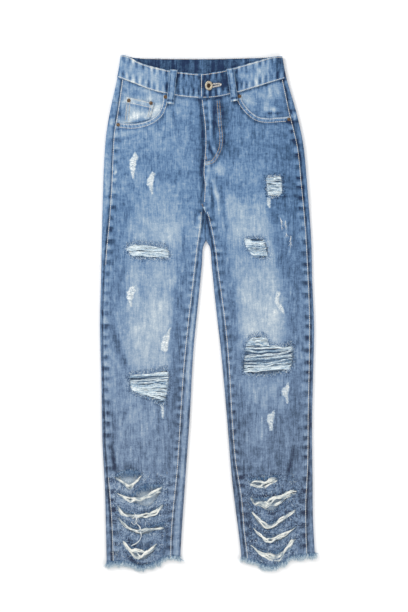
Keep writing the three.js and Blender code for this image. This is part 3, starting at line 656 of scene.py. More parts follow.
def add_node(tree, kind, inputs=(), **settings):
    """adds a node with its settings; inputs maps a socket to a value or to another's output"""
    made = tree.nodes.new(kind)
    for key, value in settings.items():
        setattr(made, key, value)
    for socket, value in dict(inputs).items():
        if isinstance(value, bpy.types.NodeSocket):
            tree.links.new(value, made.inputs[socket])
        else:
            made.inputs[socket].default_value = value
    return made


def linear(hex_colour):
    """an sRGB colour such as 7d9cc0 as linear red, green, blue and alpha"""
    parts = [int(hex_colour[i:i + 2], 16) / 255 for i in (0, 2, 4)]
    return [p / 12.92 if p <= 0.04045 else ((p + 0.055) / 1.055) ** 2.4 for p in parts] + [1]


def new_material(name):
    """a new material, its nodes, its shader and its place in the object's own coordinates"""
    made = bpy.data.materials.new(name)
    made.use_nodes = True
    tree = made.node_tree
    place = add_node(tree, "ShaderNodeTexCoord").outputs["Object"]
    return made, tree, tree.nodes["Principled BSDF"], place


def colour_ramp(tree, value, stops):
    """a ramp from a value to sRGB colours, given as (at, colour)"""
    ramp = add_node(tree, "ShaderNodeValToRGB", {"Fac": value})
    elements = ramp.color_ramp.elements
    while len(elements) < len(stops):
        elements.new(0.5)
    for element, (at, _) in zip(elements, stops):
        element.position = at
    for element, (_, colour) in zip(elements, stops):
        element.color = linear(colour)
    return ramp.outputs["Color"]


def denim(name, dyes, speckle, streak, level_attribute="fade_and_shade"):
    """Cotton twill: indigo warp over a white filling. The wash leaves long pale slubs along the
    warp and shorter ones across it. The weave itself (0.6 mm) is too fine to show, so the slubs
    are drawn about three times as coarse."""
    made, tree, cloth, place = new_material(name)
    # how pale the cloth is, faded and worn, with painted shade and highlights in it
    worn = add_node(tree, "ShaderNodeAttribute", attribute_name=level_attribute).outputs["Fac"]
    fibres = add_node(tree, "ShaderNodeAttribute", attribute_name="speckle").outputs["Fac"]
    grains, strengths = 0.0, 0.0
    # cell size in mm across and along the warp, and how strongly it shows
    for wide, long, strength in (
        (3.0, 46.0, 0.5 * streak), (2.0, 13.0, 0.5 * streak), (12.0, 3.0, 0.26 * streak),
        (5.0, 22.0, 0.34 * streak), (7.0, 7.0, 0.4 * streak),
    ):
        scaled = add_node(tree, "ShaderNodeMapping", {
            "Vector": place, "Scale": (1000 / wide, 1000 / long, 300)}).outputs[0]
        grain = add_node(tree, "ShaderNodeTexNoise", {
            "Vector": scaled, "Scale": 1.0, "Detail": 2.0, "Roughness": 0.55}).outputs["Fac"]
        grains = add_node(tree, "ShaderNodeMath", {
            0: grain, 1: strength, 2: grains}, operation="MULTIPLY_ADD").outputs[0]
        strengths += strength
    even = add_node(tree, "ShaderNodeMath", {
        0: grains, 1: strengths * 0.5}, operation="SUBTRACT").outputs[0]
    # where the blue has gone the slubs hardly show
    calm = add_node(tree, "ShaderNodeMapRange", {
        "Value": worn, "From Min": 0.35, "From Max": 0.7, "To Min": 1.0, "To Max": 0.68}).outputs[0]
    total = add_node(tree, "ShaderNodeMath", {
        0: even, 1: calm, 2: worn}, operation="MULTIPLY_ADD").outputs[0]
    # fibres that stand off the cloth, drawn 2.5 mm wide
    fleck = add_node(tree, "ShaderNodeTexNoise", {
        "Vector": place, "Scale": 400.0, "Detail": 2.0, "Roughness": 0.65}).outputs["Fac"]
    centred = add_node(tree, "ShaderNodeMath", {
        0: fleck, 1: 0.5}, operation="SUBTRACT").outputs[0]
    amount = add_node(tree, "ShaderNodeMath", {
        0: fibres, 1: speckle}, operation="MULTIPLY").outputs[0]
    total = add_node(tree, "ShaderNodeMath", {
        0: centred, 1: amount, 2: total}, operation="MULTIPLY_ADD").outputs[0]
    spread = add_node(tree, "ShaderNodeMapRange", {
        "Value": total, "From Min": -0.15, "From Max": 1.15}).outputs[0]
    dyed = colour_ramp(tree, spread, [((at + 0.15) / 1.3, colour) for at, colour in dyes])
    # the shins have been washed greyer than the hips
    height = add_node(tree, "ShaderNodeSeparateXYZ", {0: place}).outputs["Y"]
    lower = add_node(tree, "ShaderNodeMapRange", {
        "Value": height, "From Min": 0.2, "From Max": -0.25, "To Min": 0.98,
        "To Max": 0.76}).outputs[0]
    toned = add_node(tree, "ShaderNodeHueSaturation", {
        "Saturation": lower, "Color": dyed}).outputs["Color"]
    tree.links.new(toned, cloth.inputs["Base Color"])
    raised = add_node(tree, "ShaderNodeBump", {
        "Height": total, "Strength": 0.5, "Distance": 0.0008}).outputs["Normal"]
    tree.links.new(raised, cloth.inputs["Normal"])
    cloth.inputs["Roughness"].default_value = 0.88
    cloth.inputs["Specular IOR Level"].default_value = 0.15
    cloth.inputs["Sheen Weight"].default_value = 0.06
    return made


# indigo in the shade of a seam, through the washes, to bare white filling
INDIGO = [
    (-0.15, "1c2f50"), (0.03, "34506f"), (0.25, "4f6e93"), (0.41, "6484a8"), (0.59, "829bb5"),
    (0.77, "9fb2c3"), (0.97, "c5d0d6"), (1.15, "f2f6f6"),
]
washed_denim = denim("stone_washed_denim", INDIGO, 2.0, 1.0)
# the reverse shows the undyed filling with a little blue between
REVERSE = [(-0.15, "314a6c"), (0.2, "5c7a9a"), (0.5, "7d98b3"), (0.8, "9db3c6"), (1.15, "c8d5de")]
denim_reverse = denim("denim_reverse", REVERSE, 1.3, 0.9, "inner")


def mesh_object(name, points, faces, levels, materials):
    """an object of points in mm, with a level, such as how faded and how shaded it is, at each of
    its points
    """
    mesh = bpy.data.meshes.new(name)
    mesh.from_pydata((np.asarray(points) * MM).tolist(), [], [list(map(int, f)) for f in faces])
    for label, values in levels.items():
        layer = mesh.attributes.new(label, "FLOAT", "POINT")
        layer.data.foreach_set("value", np.asarray(values, np.float32))
    mesh.polygons.foreach_set("use_smooth", [True] * len(mesh.polygons))
    for material in materials:
        mesh.materials.append(material)
    mesh.update()
    made = bpy.data.objects.new(name, mesh)
    bpy.context.scene.collection.objects.link(made)
    return made


def cloth_piece(name, points, faces, colour_levels, thick, materials, node):
    """a sheet of points in mm with its levels of fading, worn places and painted shade, given
    its thickness on the side away from its normals."""
    colour_levels = {"inner": np.full(len(points), 0.45), **colour_levels}
    made = mesh_object(name, points, faces, colour_levels, materials)
    wall = made.modifiers.new("thickness", "SOLIDIFY")
    wall.thickness = thick * MM
    wall.offset = -1
    wall.material_offset = 1
    wall.material_offset_rim = 0
    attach(made, "root")
    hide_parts(node)


def grid_faces(rows, columns, keep=lambda r, c: True):
    return [
        (r * columns + c, r * columns + c + 1, (r + 1) * columns + c + 1, (r + 1) * columns + c)
        for r in range(rows - 1) for c in range(columns - 1) if keep(r, c)
    ]


def merged(points, faces, *values):
    """welds points that lie together, and drops faces that have shrunk to nothing"""
    keys = np.round(np.asarray(points) / 0.01).astype(np.int64)
    _, first, back = np.unique(keys, axis=0, return_index=True, return_inverse=True)
    back = back.ravel()
    kept = []
    for face in faces:
        corners = []
        for i in face:
            if back[i] not in corners:
                corners.append(int(back[i]))
        if len(corners) > 2:
            kept.append(corners)
    used = np.unique(np.concatenate([np.array(f) for f in kept]))
    renumber = np.full(len(first), -1)
    renumber[used] = np.arange(len(used))
    faces = [[int(renumber[i]) for i in f] for f in kept]
    first = first[used]
    return np.asarray(points)[first], faces, *[np.asarray(v)[first] for v in values]


def wrapped_point(side, group, share, y):
    """a point of the back panel's outer face, at a share of the way across one of its stretches:
    the strip on top by the side seam, the fold there, the underside, the inner fold, and the
    strip on top by the inseam"""
    out = OUT[side]
    low = underside(y)
    outer, inner = side_edge[side](y), inner_edge[side](y)
    above = y > FORK[1]
    inner_flat = np.where(above, centre_back(y) + out * 0.1, inner + out * FOLD_R)
    if group == "outer_strip":
        x = side_seam[side](y) + out * SEAM_HALF + share * (
            outer - out * FOLD_R - side_seam[side](y) - out * SEAM_HALF)
        return x, y, crown(x, y) + relief(x, y) * (1 - smooth(share * 1.1 - 0.1))
    if group == "outer_fold":
        angle = math.pi / 2 - share * math.pi
        return (outer - out * FOLD_R + out * FOLD_R * np.cos(angle), y,
                low + FOLD_R + FOLD_R * np.sin(angle))
    if group == "underside":
        x = outer - out * FOLD_R + share * (inner_flat - outer + out * FOLD_R)
        lift = 0.5 * (1 + noise(x, y, (45, 120), 40)) * np.sin(math.pi * share)
        return x, y, low + 0.35 * lift
    if group == "inner_fold":
        angle = -math.pi / 2 + share * math.pi
        x = inner + out * FOLD_R - out * FOLD_R * np.cos(angle)
        z = low + FOLD_R + FOLD_R * np.sin(angle)
        if share == 1:  # above the fork the strips meet at the centre
            x = np.where(above, inner_flat, x)
            z = np.where(above, crown(x, y), z)
        return x, y, z
    x = inner_flat + share * (inseam[side](y) - out * SEAM_HALF - inner_flat)
    return x, y, crown(x, y) + relief(x, y) * smooth(share * 1.1)


BACK_GROUPS = [
    ("outer_strip", 5), ("outer_fold", 7), ("underside", 13), ("inner_fold", 7),
    ("inner_strip", 6),
]


def wrapped_grid(side, groups, lower, upper, rows):
    """rows of points from one edge y(x) to another, across the given stretches"""
    points, labels = [], []
    for group, count in groups:
        for c in range(count):
            if c == 0 and labels:
                continue
            labels.append((group, c / (count - 1)))
    share = np.linspace(0, 1, rows)
    columns = []
    for group, across in labels:
        y = lower(np.full(rows, -100.0 if side == "right" else 100.0)) * (1 - share) + 400 * share
        for _ in range(6):
            x, _, _ = wrapped_point(side, group, across, y)
            y = lower(x) * (1 - share) + upper(x) * share
        columns.append(np.column_stack(wrapped_point(side, group, across, y)))
    points = np.stack(columns, axis=1)
    return points, labels


for side in ("right", "left"):
    rows = 330
    points, labels = wrapped_grid(
        side, BACK_GROUPS, hem[side], lambda x: yoke_seam(x) - SEAM_HALF, rows)
    names = [g for g, _ in labels]
    count = len(labels)
    strip_from = names.index("inner_strip")

    def present(r, c):
        y = points[r, c, 1]
        if y > FORK[1] and names[c + 1] == "inner_fold":
            return False
        return not (c >= strip_from - 1 and y > CROTCH_Y - 1)

    flat_points = points.reshape(-1, 3)
    fade_and_shade, speckle = upper_fade_and_shade(flat_points[:, 0], flat_points[:, 1])
    below = np.tile([g == "underside" for g in names], rows)
    folded = np.tile([g in ("outer_fold", "inner_fold") for g in names], rows)
    seat = 0.34 + 0.16 * smooth((200 - flat_points[:, 1]) / 300)
    hidden = seat + 0.06 * noise(flat_points[:, 0], flat_points[:, 1], (40, 70), 51)
    fade_and_shade = np.where(below, hidden, np.where(folded, fade_and_shade * 0.85, fade_and_shade))
    strips = np.tile([g == "inner_strip" for g in names], rows)
    paler = 0.28 * smooth((90 - flat_points[:, 1]) / 120) if side == "right" else 0.05
    fade_and_shade = fade_and_shade + np.where(strips & (flat_points[:, 1] < 120), paler, 0)
    fade_and_shade = fade_and_shade - np.where(strips & (flat_points[:, 1] > 135), 0.12, 0)
    faces = grid_faces(rows, count, present)
    if side == "right":
        faces = [f[::-1] for f in faces]
    # the inner face stays dark under the rips, where little light reaches it
    inner = 0.75 + 0.2 * noise(flat_points[:, 0], flat_points[:, 1], (14, 9), 52)
    for rip in rips.values():
        d, _ = line_distance(flat_points[:, 0], flat_points[:, 1], closed(rip["outline"]))
        within = inside(flat_points[:, :2], np.array(rip["outline"], float)) | (d < 9)
        inner = np.where(within, 0.22, inner)
    points_m, faces, fade_and_shade, speckle, inner = merged(flat_points, faces, fade_and_shade, speckle, inner)
    cloth_piece(f"back_panel_{side}", points_m, faces,
                {"fade_and_shade": fade_and_shade, "speckle": speckle, "inner": inner},
                DENIM, (washed_denim, denim_reverse),
                f"back_{side}")

# ------------------------------------------------------------------ yokes
# Shaped pieces of the same denim between each back panel and the waistband. They lie under the
# seat and come round the hips as a narrow strip on top.
for side in ("right", "left"):
    groups = [("outer_strip", 5), ("outer_fold", 7), ("underside", 13)]
    rows = 30
    points, labels = wrapped_grid(
        side, groups, lambda x: yoke_seam(x) + SEAM_HALF, band_bottom_back, rows)
    flat_points = points.reshape(-1, 3)
    fade_and_shade, speckle = upper_fade_and_shade(flat_points[:, 0], flat_points[:, 1])
    below = np.tile([g == "underside" for g, _ in labels], rows)
    fade_and_shade = np.where(below, 0.34, fade_and_shade)
    faces = grid_faces(rows, len(labels))
    if side == "right":
        faces = [f[::-1] for f in faces]
    points_m, faces, fade_and_shade, speckle = merged(flat_points, faces, fade_and_shade, speckle)
    cloth_piece(f"yoke_{side}_panel", points_m, faces, {"fade_and_shade": fade_and_shade, "speckle": speckle},
                DENIM, (washed_denim, denim_reverse),
                f"yoke_{side}")

# ------------------------------------------------------------------ front panels
# One panel of the same denim for each leg, from the fly and the inseam to the side seam, with a
# scoop cut out for the pocket. The wearer's left one laps over at the fly. Both are ripped at
# the thigh and the knee and slashed five times across the shin; the hem is raw.


def cut_sheet(outline, holes, spacings, seed):
    """points and upward triangles over an outline with holes. Spacings are (from y, to y, mm)."""
    rng = np.random.default_rng(seed)
    loops = [outline, *holes]
    border = np.concatenate(loops)
    tree = kdtree.KDTree(len(border))
    for i, (x, y) in enumerate(border):
        tree.insert((x, y, 0), i)
    tree.balance()
    low, high = outline.min(0), outline.max(0)
    fill = []
    for y0, y1, gap in spacings:
        ys = np.arange(max(y0, low[1]), min(y1, high[1]), gap * 0.87)
        for n, y in enumerate(ys):
            xs = np.arange(low[0] + (n % 2) * gap / 2, high[0], gap)
            row = np.column_stack([xs, np.full(len(xs), y)])
            fill.append(row + rng.uniform(-0.12, 0.12, row.shape) * gap)
    fill = np.concatenate(fill)
    keep = inside(fill, outline)
    for hole in holes:
        keep &= ~inside(fill, hole)
    fill = fill[keep]
    fill = np.array([p for p in fill if tree.find((p[0], p[1], 0))[2] > 1.3])
    edges, start = [], 0
    for loop in loops:
        n = len(loop)
        edges += [(start + i, start + (i + 1) % n) for i in range(n)]
        start += n
    corners = np.concatenate([border, fill])
    made = geometry.delaunay_2d_cdt([tuple(p) for p in corners], edges, [], 0, 1e-5)
    points = np.array([(v.x, v.y) for v in made[0]])
    triangles = np.array([f for f in made[2] if len(f) == 3])
    middles = points[triangles].mean(1)
    keep = inside(middles, outline)
    for hole in holes:
        keep &= ~inside(middles, hole)
    triangles = triangles[keep]
    a, b, c = (points[triangles[:, k]] for k in range(3))
    twice_area = (b - a)[:, 0] * (c - a)[:, 1] - (b - a)[:, 1] * (c - a)[:, 0]
    triangles[twice_area < 0] = triangles[twice_area < 0][:, ::-1]
    triangles = triangles[np.abs(twice_area) > 0.02]
    used, triangles = np.unique(triangles, return_inverse=True)
    return points[used], triangles.reshape(-1, 3)


def down(seam, start, end, shift=0.0, step=2.8):
    y = np.linspace(start, end, max(2, int(abs(end - start) / step) + 1))
    return np.column_stack([seam(y) + shift, y])


def across(edge, start, end, shift=0.0, step=2.8):
    x = np.linspace(start, end, max(2, int(abs(end - start) / step) + 1))
    return np.column_stack([x, edge(x) + shift])


def slash_loop(name):
    upper, lower = slashes[name][:2]
    low = softened([upper[0], *lower, upper[-1]], 2.2)
    high = softened(upper, 2.2)[::-1][1:-1]
    return np.concatenate([low, high])


def frayed(loop, amount, seed):
    """the same loop with a ragged edge"""
    rng = np.random.default_rng(seed)
    return loop + rng.uniform(-amount, amount, loop.shape)


def front_outline(side):
    out = OUT[side]
    shift = out * 0.12
    mouth = softened(pocket_mouth[side], 2.4)
    mouth = mouth[(mouth[:, 0] - side_seam[side](mouth[:, 1]) + out * 0.2) * out < 0]
    mouth = mouth[mouth[:, 1] < band_bottom_front(mouth[:, 0]) - 0.8]
    foot = hem[side](inseam[side](-480.0))
    toe = hem[side](side_seam[side](-480.0))
    return np.concatenate([
        down(centre_front, float(band_bottom_front(-14.0)), CROTCH_Y, shift),
        down(inseam[side], CROTCH_Y - 2.8, float(foot) + 1, shift),
        across(hem[side], float(inseam[side](foot)) + shift, float(side_seam[side](toe)) - shift),
        down(side_seam[side], float(toe) + 2, float(mouth[-1][1]) - 2, -shift),
        mouth[::-1],
        across(band_bottom_front, mouth[0][0], -14.4 + shift, 0.2)[:-1],
    ])


for n, side in enumerate(("right", "left")):
    outline = front_outline(side)
    holes = [frayed(softened(closed(rip["outline"]), 2.0)[:-1], 0.5, k)
             for k, (name, rip) in enumerate(rips.items()) if name.endswith(side)]
    holes += [frayed(slash_loop(name), 0.45, k)
              for k, name in enumerate(slashes) if f"_{side}_" in name]
    flat, triangles = cut_sheet(outline, holes, [(-520, -298, 2.1), (-297, 520, 2.9)], n)
    x, y = flat.T
    fade_and_shade, speckle = upper_fade_and_shade(x, y)
    points = np.column_stack([x, y, crown(x, y) + relief(x, y)])
    cloth_piece(f"front_panel_{side}", points, triangles,
                {"fade_and_shade": fade_and_shade, "speckle": speckle}, DENIM, (washed_denim, denim_reverse),
                f"front_{side}")

# ------------------------------------------------------------------ pocket facings and coin pocket
# Bleached pieces of the same denim under the scooped mouths of the front pockets. The coin
# pocket is a hemmed patch sewn on the right one, and its foot goes into the pocket.
facing_wear = {
    "right": [(-98, 404, 14, 22, 0.06), (-172, 400, 8, 26, -0.12), (-130, 425, 26, 8, -0.2),
              (-168, 432, 16, 12, -0.06), (-98, 390, 10, 10, 0.1), (-120, 372, 30, 4, -0.2)],
    "left": [(118, 412, 34, 16, 0.06), (148, 432, 22, 12, 0.04), (120, 386, 34, 5, -0.16),
             (96, 398, 9, 16, -0.1), (150, 392, 12, 10, -0.12), (133, 392, 16, 4, 0.12),
             (76, 424, 10, 10, -0.05), (128, 388, 15, 2.5, -0.2), (118, 396, 16, 3, 0.14),
             (104, 386, 10, 4, 0.16)],
}
facing_base = {"right": 0.68, "left": 0.46}


def facing_fade_and_shade(side, x, y):
    out = facing_base[side] + 0.2 * noise(x, y, (22, 12), 61) + 0.18 * noise(x, y, (8, 9), 62)
    for at_x, at_y, wide, tall, more in facing_wear[side]:
        out = out + 1.5 * more * bump(np.hypot((x - at_x) / wide, (y - at_y) / tall))
    # a painted shadow along the waistband's lower edge
    out = out - 0.34 * bump((band_bottom_front(x) - y - 2) / 2.6)
    seam_away = (side_seam[side](y) - x) * OUT[side]
    return out - 0.2 * bump((seam_away - 5) / 3)


for side, reach in (("right", -72), ("left", 50)):
    out = OUT[side]
    foot = {"right": 350, "left": 360}[side]
    outline = np.concatenate([
        down(side_seam[side], 453, foot, -out * 0.5),
        [[reach, foot]],
        across(band_bottom_front, reach, float(side_seam[side](455)) - out * 0.5, 1.0),
    ])
    flat, triangles = cut_sheet(outline, [], [(300, 520, 3.2)], 7)
    x, y = flat.T
    sunk = -1.55 + 0.45 * noise(x, y, (24, 18), 63)
    fade_and_shade = facing_fade_and_shade(side, x, y)
    cloth_piece(
        f"pocket_facing_{side}", np.column_stack([x, y, crown(x, y) + np.minimum(sunk, -1.3)]),
        triangles, {"fade_and_shade": fade_and_shade, "speckle": fade_and_shade * 0 + 0.3}, DENIM,
        (washed_denim, denim_reverse),
        f"pocket_facing_{side}")

coin_outline = np.concatenate([
    softened([(-158, 419), (-157.5, 419.4), (-103.6, 407.5)], 2.2),
    softened([(-103.9, 405), (-108, 390), (-111.4, 379)], 2.2),
    softened([(-114, 376), (-124, 372.4), (-140, 369.6), (-161, 369.4)], 2.2),
    softened([(-161.4, 371.5), (-159.6, 396), (-158.2, 416)], 2.2),
])
flat, triangles = cut_sheet(coin_outline, [], [(300, 520, 2.3)], 8)
x, y = flat.T
hemmed = np.clip((y - (407.5 - (x + 103.6) * 0.2205)) / -12, -1, 2)
coin_fade = facing_fade_and_shade("right", x, y) + 0.02
coin_fade += 0.2 * bump(np.hypot((x + 146) / 12, (y - 384) / 9))
coin_fade += 0.12 * bump((hemmed - 0.1) / 0.2) - 0.26 * bump((hemmed - 1.15) / 0.22)
coin_fade -= 0.2 * bump((x + 113 + (y - 390) * 0.25) / 3)
high = crown(x, y) + 0.35 * bump((hemmed - 0.5) / 0.6) + 0.25 * noise(x, y, (9, 7), 64)
cloth_piece(
    "coin_pocket", np.column_stack([x, y, high]), triangles,
    {"fade_and_shade": coin_fade, "speckle": coin_fade * 0 + 0.3}, DENIM, (washed_denim, denim_reverse),
    "coin_pocket")

# ------------------------------------------------------------------ waistband
# One long strip of denim folded double, 46 mm high, sewn over the tops of the panels. Its
# wearer's left end laps over the right one at the centre front. It puckers along both seams.
BAND_PROUD = 0.8
BAND_THICK = 2.4
BAND_R = FOLD_R + BAND_PROUD
BAND_END = -14.5
band_wear_and_shadow = [
    (-152, 476, 16, 22, 0.14), (-118, 458, 26, 14, 0.04), (-96, 446, 22, 8, 0.08),
    (-166, 470, 6, 24, -0.1), (-132, 478, 12, 6, -0.18), (-84, 440, 5, 24, -0.12),
    (-44, 446, 18, 9, 0.12), (-26, 428, 10, 6, 0.1), (-60, 452, 5, 18, -0.12),
    (-30, 456, 12, 6, -0.05), (14, 428, 20, 6, 0.12), (-6, 452, 6, 12, -0.06),
    (28, 452, 10, 14, -0.05), (20, 458, 8, 4, 0.1), (78, 462, 18, 14, 0.16),
    (104, 470, 18, 12, 0.16), (86, 442, 18, 6, 0.12), (138, 474, 10, 20, -0.22),
    (122, 488, 10, 6, -0.08), (60, 440, 4, 20, -0.1), (-100, 474, 14, 5, 0.1),
    (-44, 462, 24, 3, -0.16), (-36, 420, 22, 3, 0.16), (110, 450, 24, 4, 0.16),
    (18, 441, 11, 6, -0.3), (10, 457, 3, 7, 0.22), (19, 434, 3, 9, 0.22), (27, 428, 3, 8, 0.26),
    (-3, 428, 4, 6, 0.2), (33, 448, 3, 12, -0.16), (-8, 462, 12, 2.5, 0.2),
    # the last four entries, dark and upright, are painted shadows beside the front belt loops
    (-150, 450, 16, 3, 0.14), (-79, 446, 3, 26, -0.3), (-61.5, 446, 3, 26, -0.3),
    (38, 452, 3, 26, -0.25), (56, 448, 3, 26, -0.3),
]


band_base = curve([
    (-176, 0.38), (-150, 0.48), (-80, 0.46), (-62, 0.2), (-20, 0.2), (-10, 0.0), (34, 0.02),
    (48, 0.16), (70, 0.38), (125, 0.36), (150, 0.1),
])
PUCKER_PITCH = 11.5


def pucker(x, y):
    """the band's short upright folds, from -1 to 1"""
    return np.sin(2 * math.pi * x / PUCKER_PITCH + 2.5 * noise(x, y * 0, 26, 71))


def band_point(group, share, rise):
    """a point of the band's outer face: a share of the way along one stretch, at a rise from 0
    at its lower edge to 1 at its top edge"""
    end_y = 457 + 42 * rise
    ends = {"right": side_edge["right"](end_y) + FOLD_R, "left": side_edge["left"](end_y) - FOLD_R}
    if group in ("front_left", "front_right", "back"):
        start, end = {
            "front_left": (BAND_END + 0.1, ends["left"]),
            "back": (ends["left"], ends["right"]),
            "front_right": (ends["right"], BAND_END - 0.1),
        }[group]
        x = start + share * (end - start)
        if group == "back":
            y = band_bottom_back(x) + rise * (band_top_back(x) - band_bottom_back(x))
            return x, y, underside(y) - BAND_PROUD
        y = band_bottom_front(x) + rise * (band_top_front(x) - band_bottom_front(x))
        return x, y, crown(x, y) + BAND_PROUD
    side = "left" if group == "fold_left" else "right"
    out = OUT[side]
    x = ends[side]
    front = band_bottom_front(x) + rise * (band_top_front(x) - band_bottom_front(x))
    back = band_bottom_back(x) + rise * (band_top_back(x) - band_bottom_back(x))
    turn = share if side == "left" else 1 - share
    y = front * (1 - turn) + back * turn
    angle = math.pi / 2 - turn * math.pi
    return (x + out * BAND_R * np.cos(angle), y, underside(y) + FOLD_R + BAND_R * np.sin(angle))


band_rows = 24
rise = np.linspace(0, 1, band_rows)
band_columns, band_names = [], []
for group, count in (("front_left", 74), ("fold_left", 9), ("back", 70), ("fold_right", 9),
                     ("front_right", 70)):
    for c in range(count):
        if c == 0 and band_names:
            continue
        x, y, z = (np.broadcast_to(v, (band_rows,))
                   for v in band_point(group, c / (count - 1), rise))
        if group.startswith("front"):
            pulled = pucker(x, y)
            seams = bump(rise / 0.24) + 0.6 * bump((1 - rise) / 0.2)
            z = z + 0.45 * pulled * seams + 0.3 * noise(x, y, (16, 22), 72)
            z = z + (0.5 * bump((x - BAND_END) / 14) if group == "front_left" else
                     -0.5 * bump((x - BAND_END) / 10))
            z = z + 0.5 * bump((rise - 0.06) / 0.05) - 0.3 * bump((rise - 0.16) / 0.05)
        band_columns.append(np.column_stack([x, y, z]))
        band_names.append(group)
points = np.stack(band_columns, axis=1).reshape(-1, 3)
x, y = points[:, 0], points[:, 1]
names = np.tile(band_names, band_rows)
rises = np.repeat(rise, len(band_names))
fade_and_shade = band_base(x) + 0.14 * noise(x, y, (13, 9), 73) + 0.13 * noise(x, y, (5, 12), 74)
for at_x, at_y, wide, tall, more in band_wear_and_shadow:
    fade_and_shade += more * bump(np.hypot((x - at_x) / wide, (y - at_y) / tall))
pulled = pucker(x, y)
fade_and_shade += 0.34 * pulled * bump((rises - 0.2) / 0.17) + 0.26 * pulled * bump((0.9 - rises) / 0.16)
# pale along both edges: worn, and partly a painted highlight on the rolled edge
fade_and_shade += 0.3 * bump(rises / 0.06) + 0.26 * bump((1 - rises) / 0.05)
fade_and_shade = np.where(names == "back", 0.34 + 0.08 * noise(x, y, (9, 14), 76), fade_and_shade)
# the inside of its back shows above the front, dark, its small upright puckers only painted in as
# light and dark streaks (painted shade) on a flat face
inner = -0.02 + 0.22 * noise(x, y * 0, (7.5, 9), 75) + 0.08 * noise(x, y, (9, 14), 76)
speckle = np.full(len(points), 0.25)
band_inside = denim("waistband_inside_denim", INDIGO, 2.0, 1.0, "inner")
cloth_piece("waistband", points, grid_faces(band_rows, len(band_names)),
            {"fade_and_shade": fade_and_shade, "speckle": speckle, "inner": inner}, BAND_THICK,
            (washed_denim, band_inside),
            "waistband")

# ------------------------------------------------------------------ belt loops
# Strips of denim about 12 mm wide with both edges turned in and topstitched: two show at the
# front, tacked below the band and on its top edge, and three are pressed under the back.
LOOP_WIDTH = 11.7
front_loops = {
    "belt_loop_front_right": ((-73.6, 406), (-66.4, 471)),
    "belt_loop_front_left": ((51.4, 411), (42.6, 473)),
}


def loop_height(run, length):
    """height of a front loop's upper face along its run"""
    return curve([(0, 9.4), (9, 9.8), (14, 10.9), (length / 2, 11.5), (length - 5, 11),
                  (length, 10.8)])(run)


for name, (foot, head) in front_loops.items():
    foot, head = np.array(foot, float), np.array(head, float)
    length = float(np.hypot(*(head - foot)))
    along = (head - foot) / length
    sideways = np.array([along[1], -along[0]])
    run, off = np.linspace(0, length, 34), np.linspace(-0.5, 0.5, 9)
    r, o = np.meshgrid(run, off, indexing="ij")
    edge = np.abs(o) * 2
    wavy = LOOP_WIDTH * o * (1 + 0.03 * np.sin(r * 0.5))
    x = foot[0] + along[0] * r + sideways[0] * wavy
    y = foot[1] + along[1] * r + sideways[1] * wavy
    z = loop_height(r, length) - 0.8 * edge**6 + 0.25 * bump((edge - 0.62) / 0.2)
    z = z + 0.2 * np.sin(r * 1.1 + o * 3)
    fade_and_shade = 0.5 + 0.3 * bump((edge - 1) / 0.16) + 0.2 * noise(r, o * 12, (5, 4), 81)
    fade_and_shade = fade_and_shade - 0.42 * bump((edge - 0.72) / 0.16) + 0.5 * bump(r / 2.4) - 0.4 * bump((r - 6) / 2)
    fade_and_shade = fade_and_shade + 0.3 * bump((length - r) / 1.6) - 0.2 * bump((length - r - 5) / 3)
    cloth_piece(
        name, np.column_stack([v.ravel() for v in (x, y, z)]),
        [f[::-1] for f in grid_faces(34, 9)],
        {"fade_and_shade": fade_and_shade.ravel(), "speckle": fade_and_shade.ravel() * 0 + 0.3}, 2.0,
        (washed_denim, washed_denim),
        name)
BACK_LOOP_LENGTH = 54.8
for side, at in (("right", -98), ("centre", -6), ("left", 84)):
    low = float(band_bottom_back(at)) - 9.4
    u, v = np.meshgrid(
        np.linspace(-0.5, 0.5, 7), np.linspace(0, BACK_LOOP_LENGTH, 22), indexing="ij")
    z = 0.5 * (np.abs(u) * 2) ** 6
    cloth_piece(
        f"belt_loop_back_{side}",
        np.column_stack([(at + u * LOOP_WIDTH * 0.98).ravel(), (low + v).ravel(), z.ravel()]),
        grid_faces(7, 22), {"fade_and_shade": 0.2 + 0.4 * bump((np.abs(u.ravel()) * 2 - 1) / 0.3),
                            "speckle": u.ravel() * 0 + 0.2}, 1.0,
        (washed_denim, washed_denim),
        f"belt_loop_back_{side}")

# ------------------------------------------------------------------ back pockets
# Five-sided patch pockets, topstitched flat under the seat, with a doubled hem across the mouth.
POCKET_HALF, POCKET_DEEP, POCKET_POINT = 61, 108, 22
back_pockets = {"right": (-98, 378, -7), "left": (82, 380, 7)}
pocket_corners = [
    (-POCKET_HALF, 0), (POCKET_HALF, 0), (POCKET_HALF - 5, -POCKET_DEEP),
    (0, -POCKET_DEEP - POCKET_POINT), (5 - POCKET_HALF, -POCKET_DEEP),
]


def on_pocket(side, u, v):
    """a place on a back pocket, from its mouth's middle, in plan"""
    at_x, at_y, turn = back_pockets[side]
    c, s = math.cos(math.radians(turn)), math.sin(math.radians(turn))
    return at_x + u * c - v * s, at_y + u * s + v * c


for side in ("right", "left"):
    corners = np.array(pocket_corners, float)
    loop = np.concatenate([
        np.linspace(a, b, 24, endpoint=False)
        for a, b in zip(corners, np.roll(corners, -1, axis=0))])
    flat, triangles = cut_sheet(loop, [], [(-150, 10, 5)], 9)
    u, v = flat.T
    x, y = on_pocket(side, u, v)
    edge = np.minimum(POCKET_HALF - np.abs(u) + v * 0.046, -v)
    fade_and_shade = 0.36 + 0.12 * bump(edge / 2.5) + 0.05 * noise(x, y, (14, 20), 91)
    z = 0.45 + 0.3 * bump(edge / 1.2)
    cloth_piece(
        f"back_pocket_{side}", np.column_stack([x, y, z]), triangles[:, ::-1],
        {"fade_and_shade": fade_and_shade, "speckle": fade_and_shade * 0 + 0.25}, 1.0, (washed_denim, washed_denim),
        f"back_pocket_{side}")

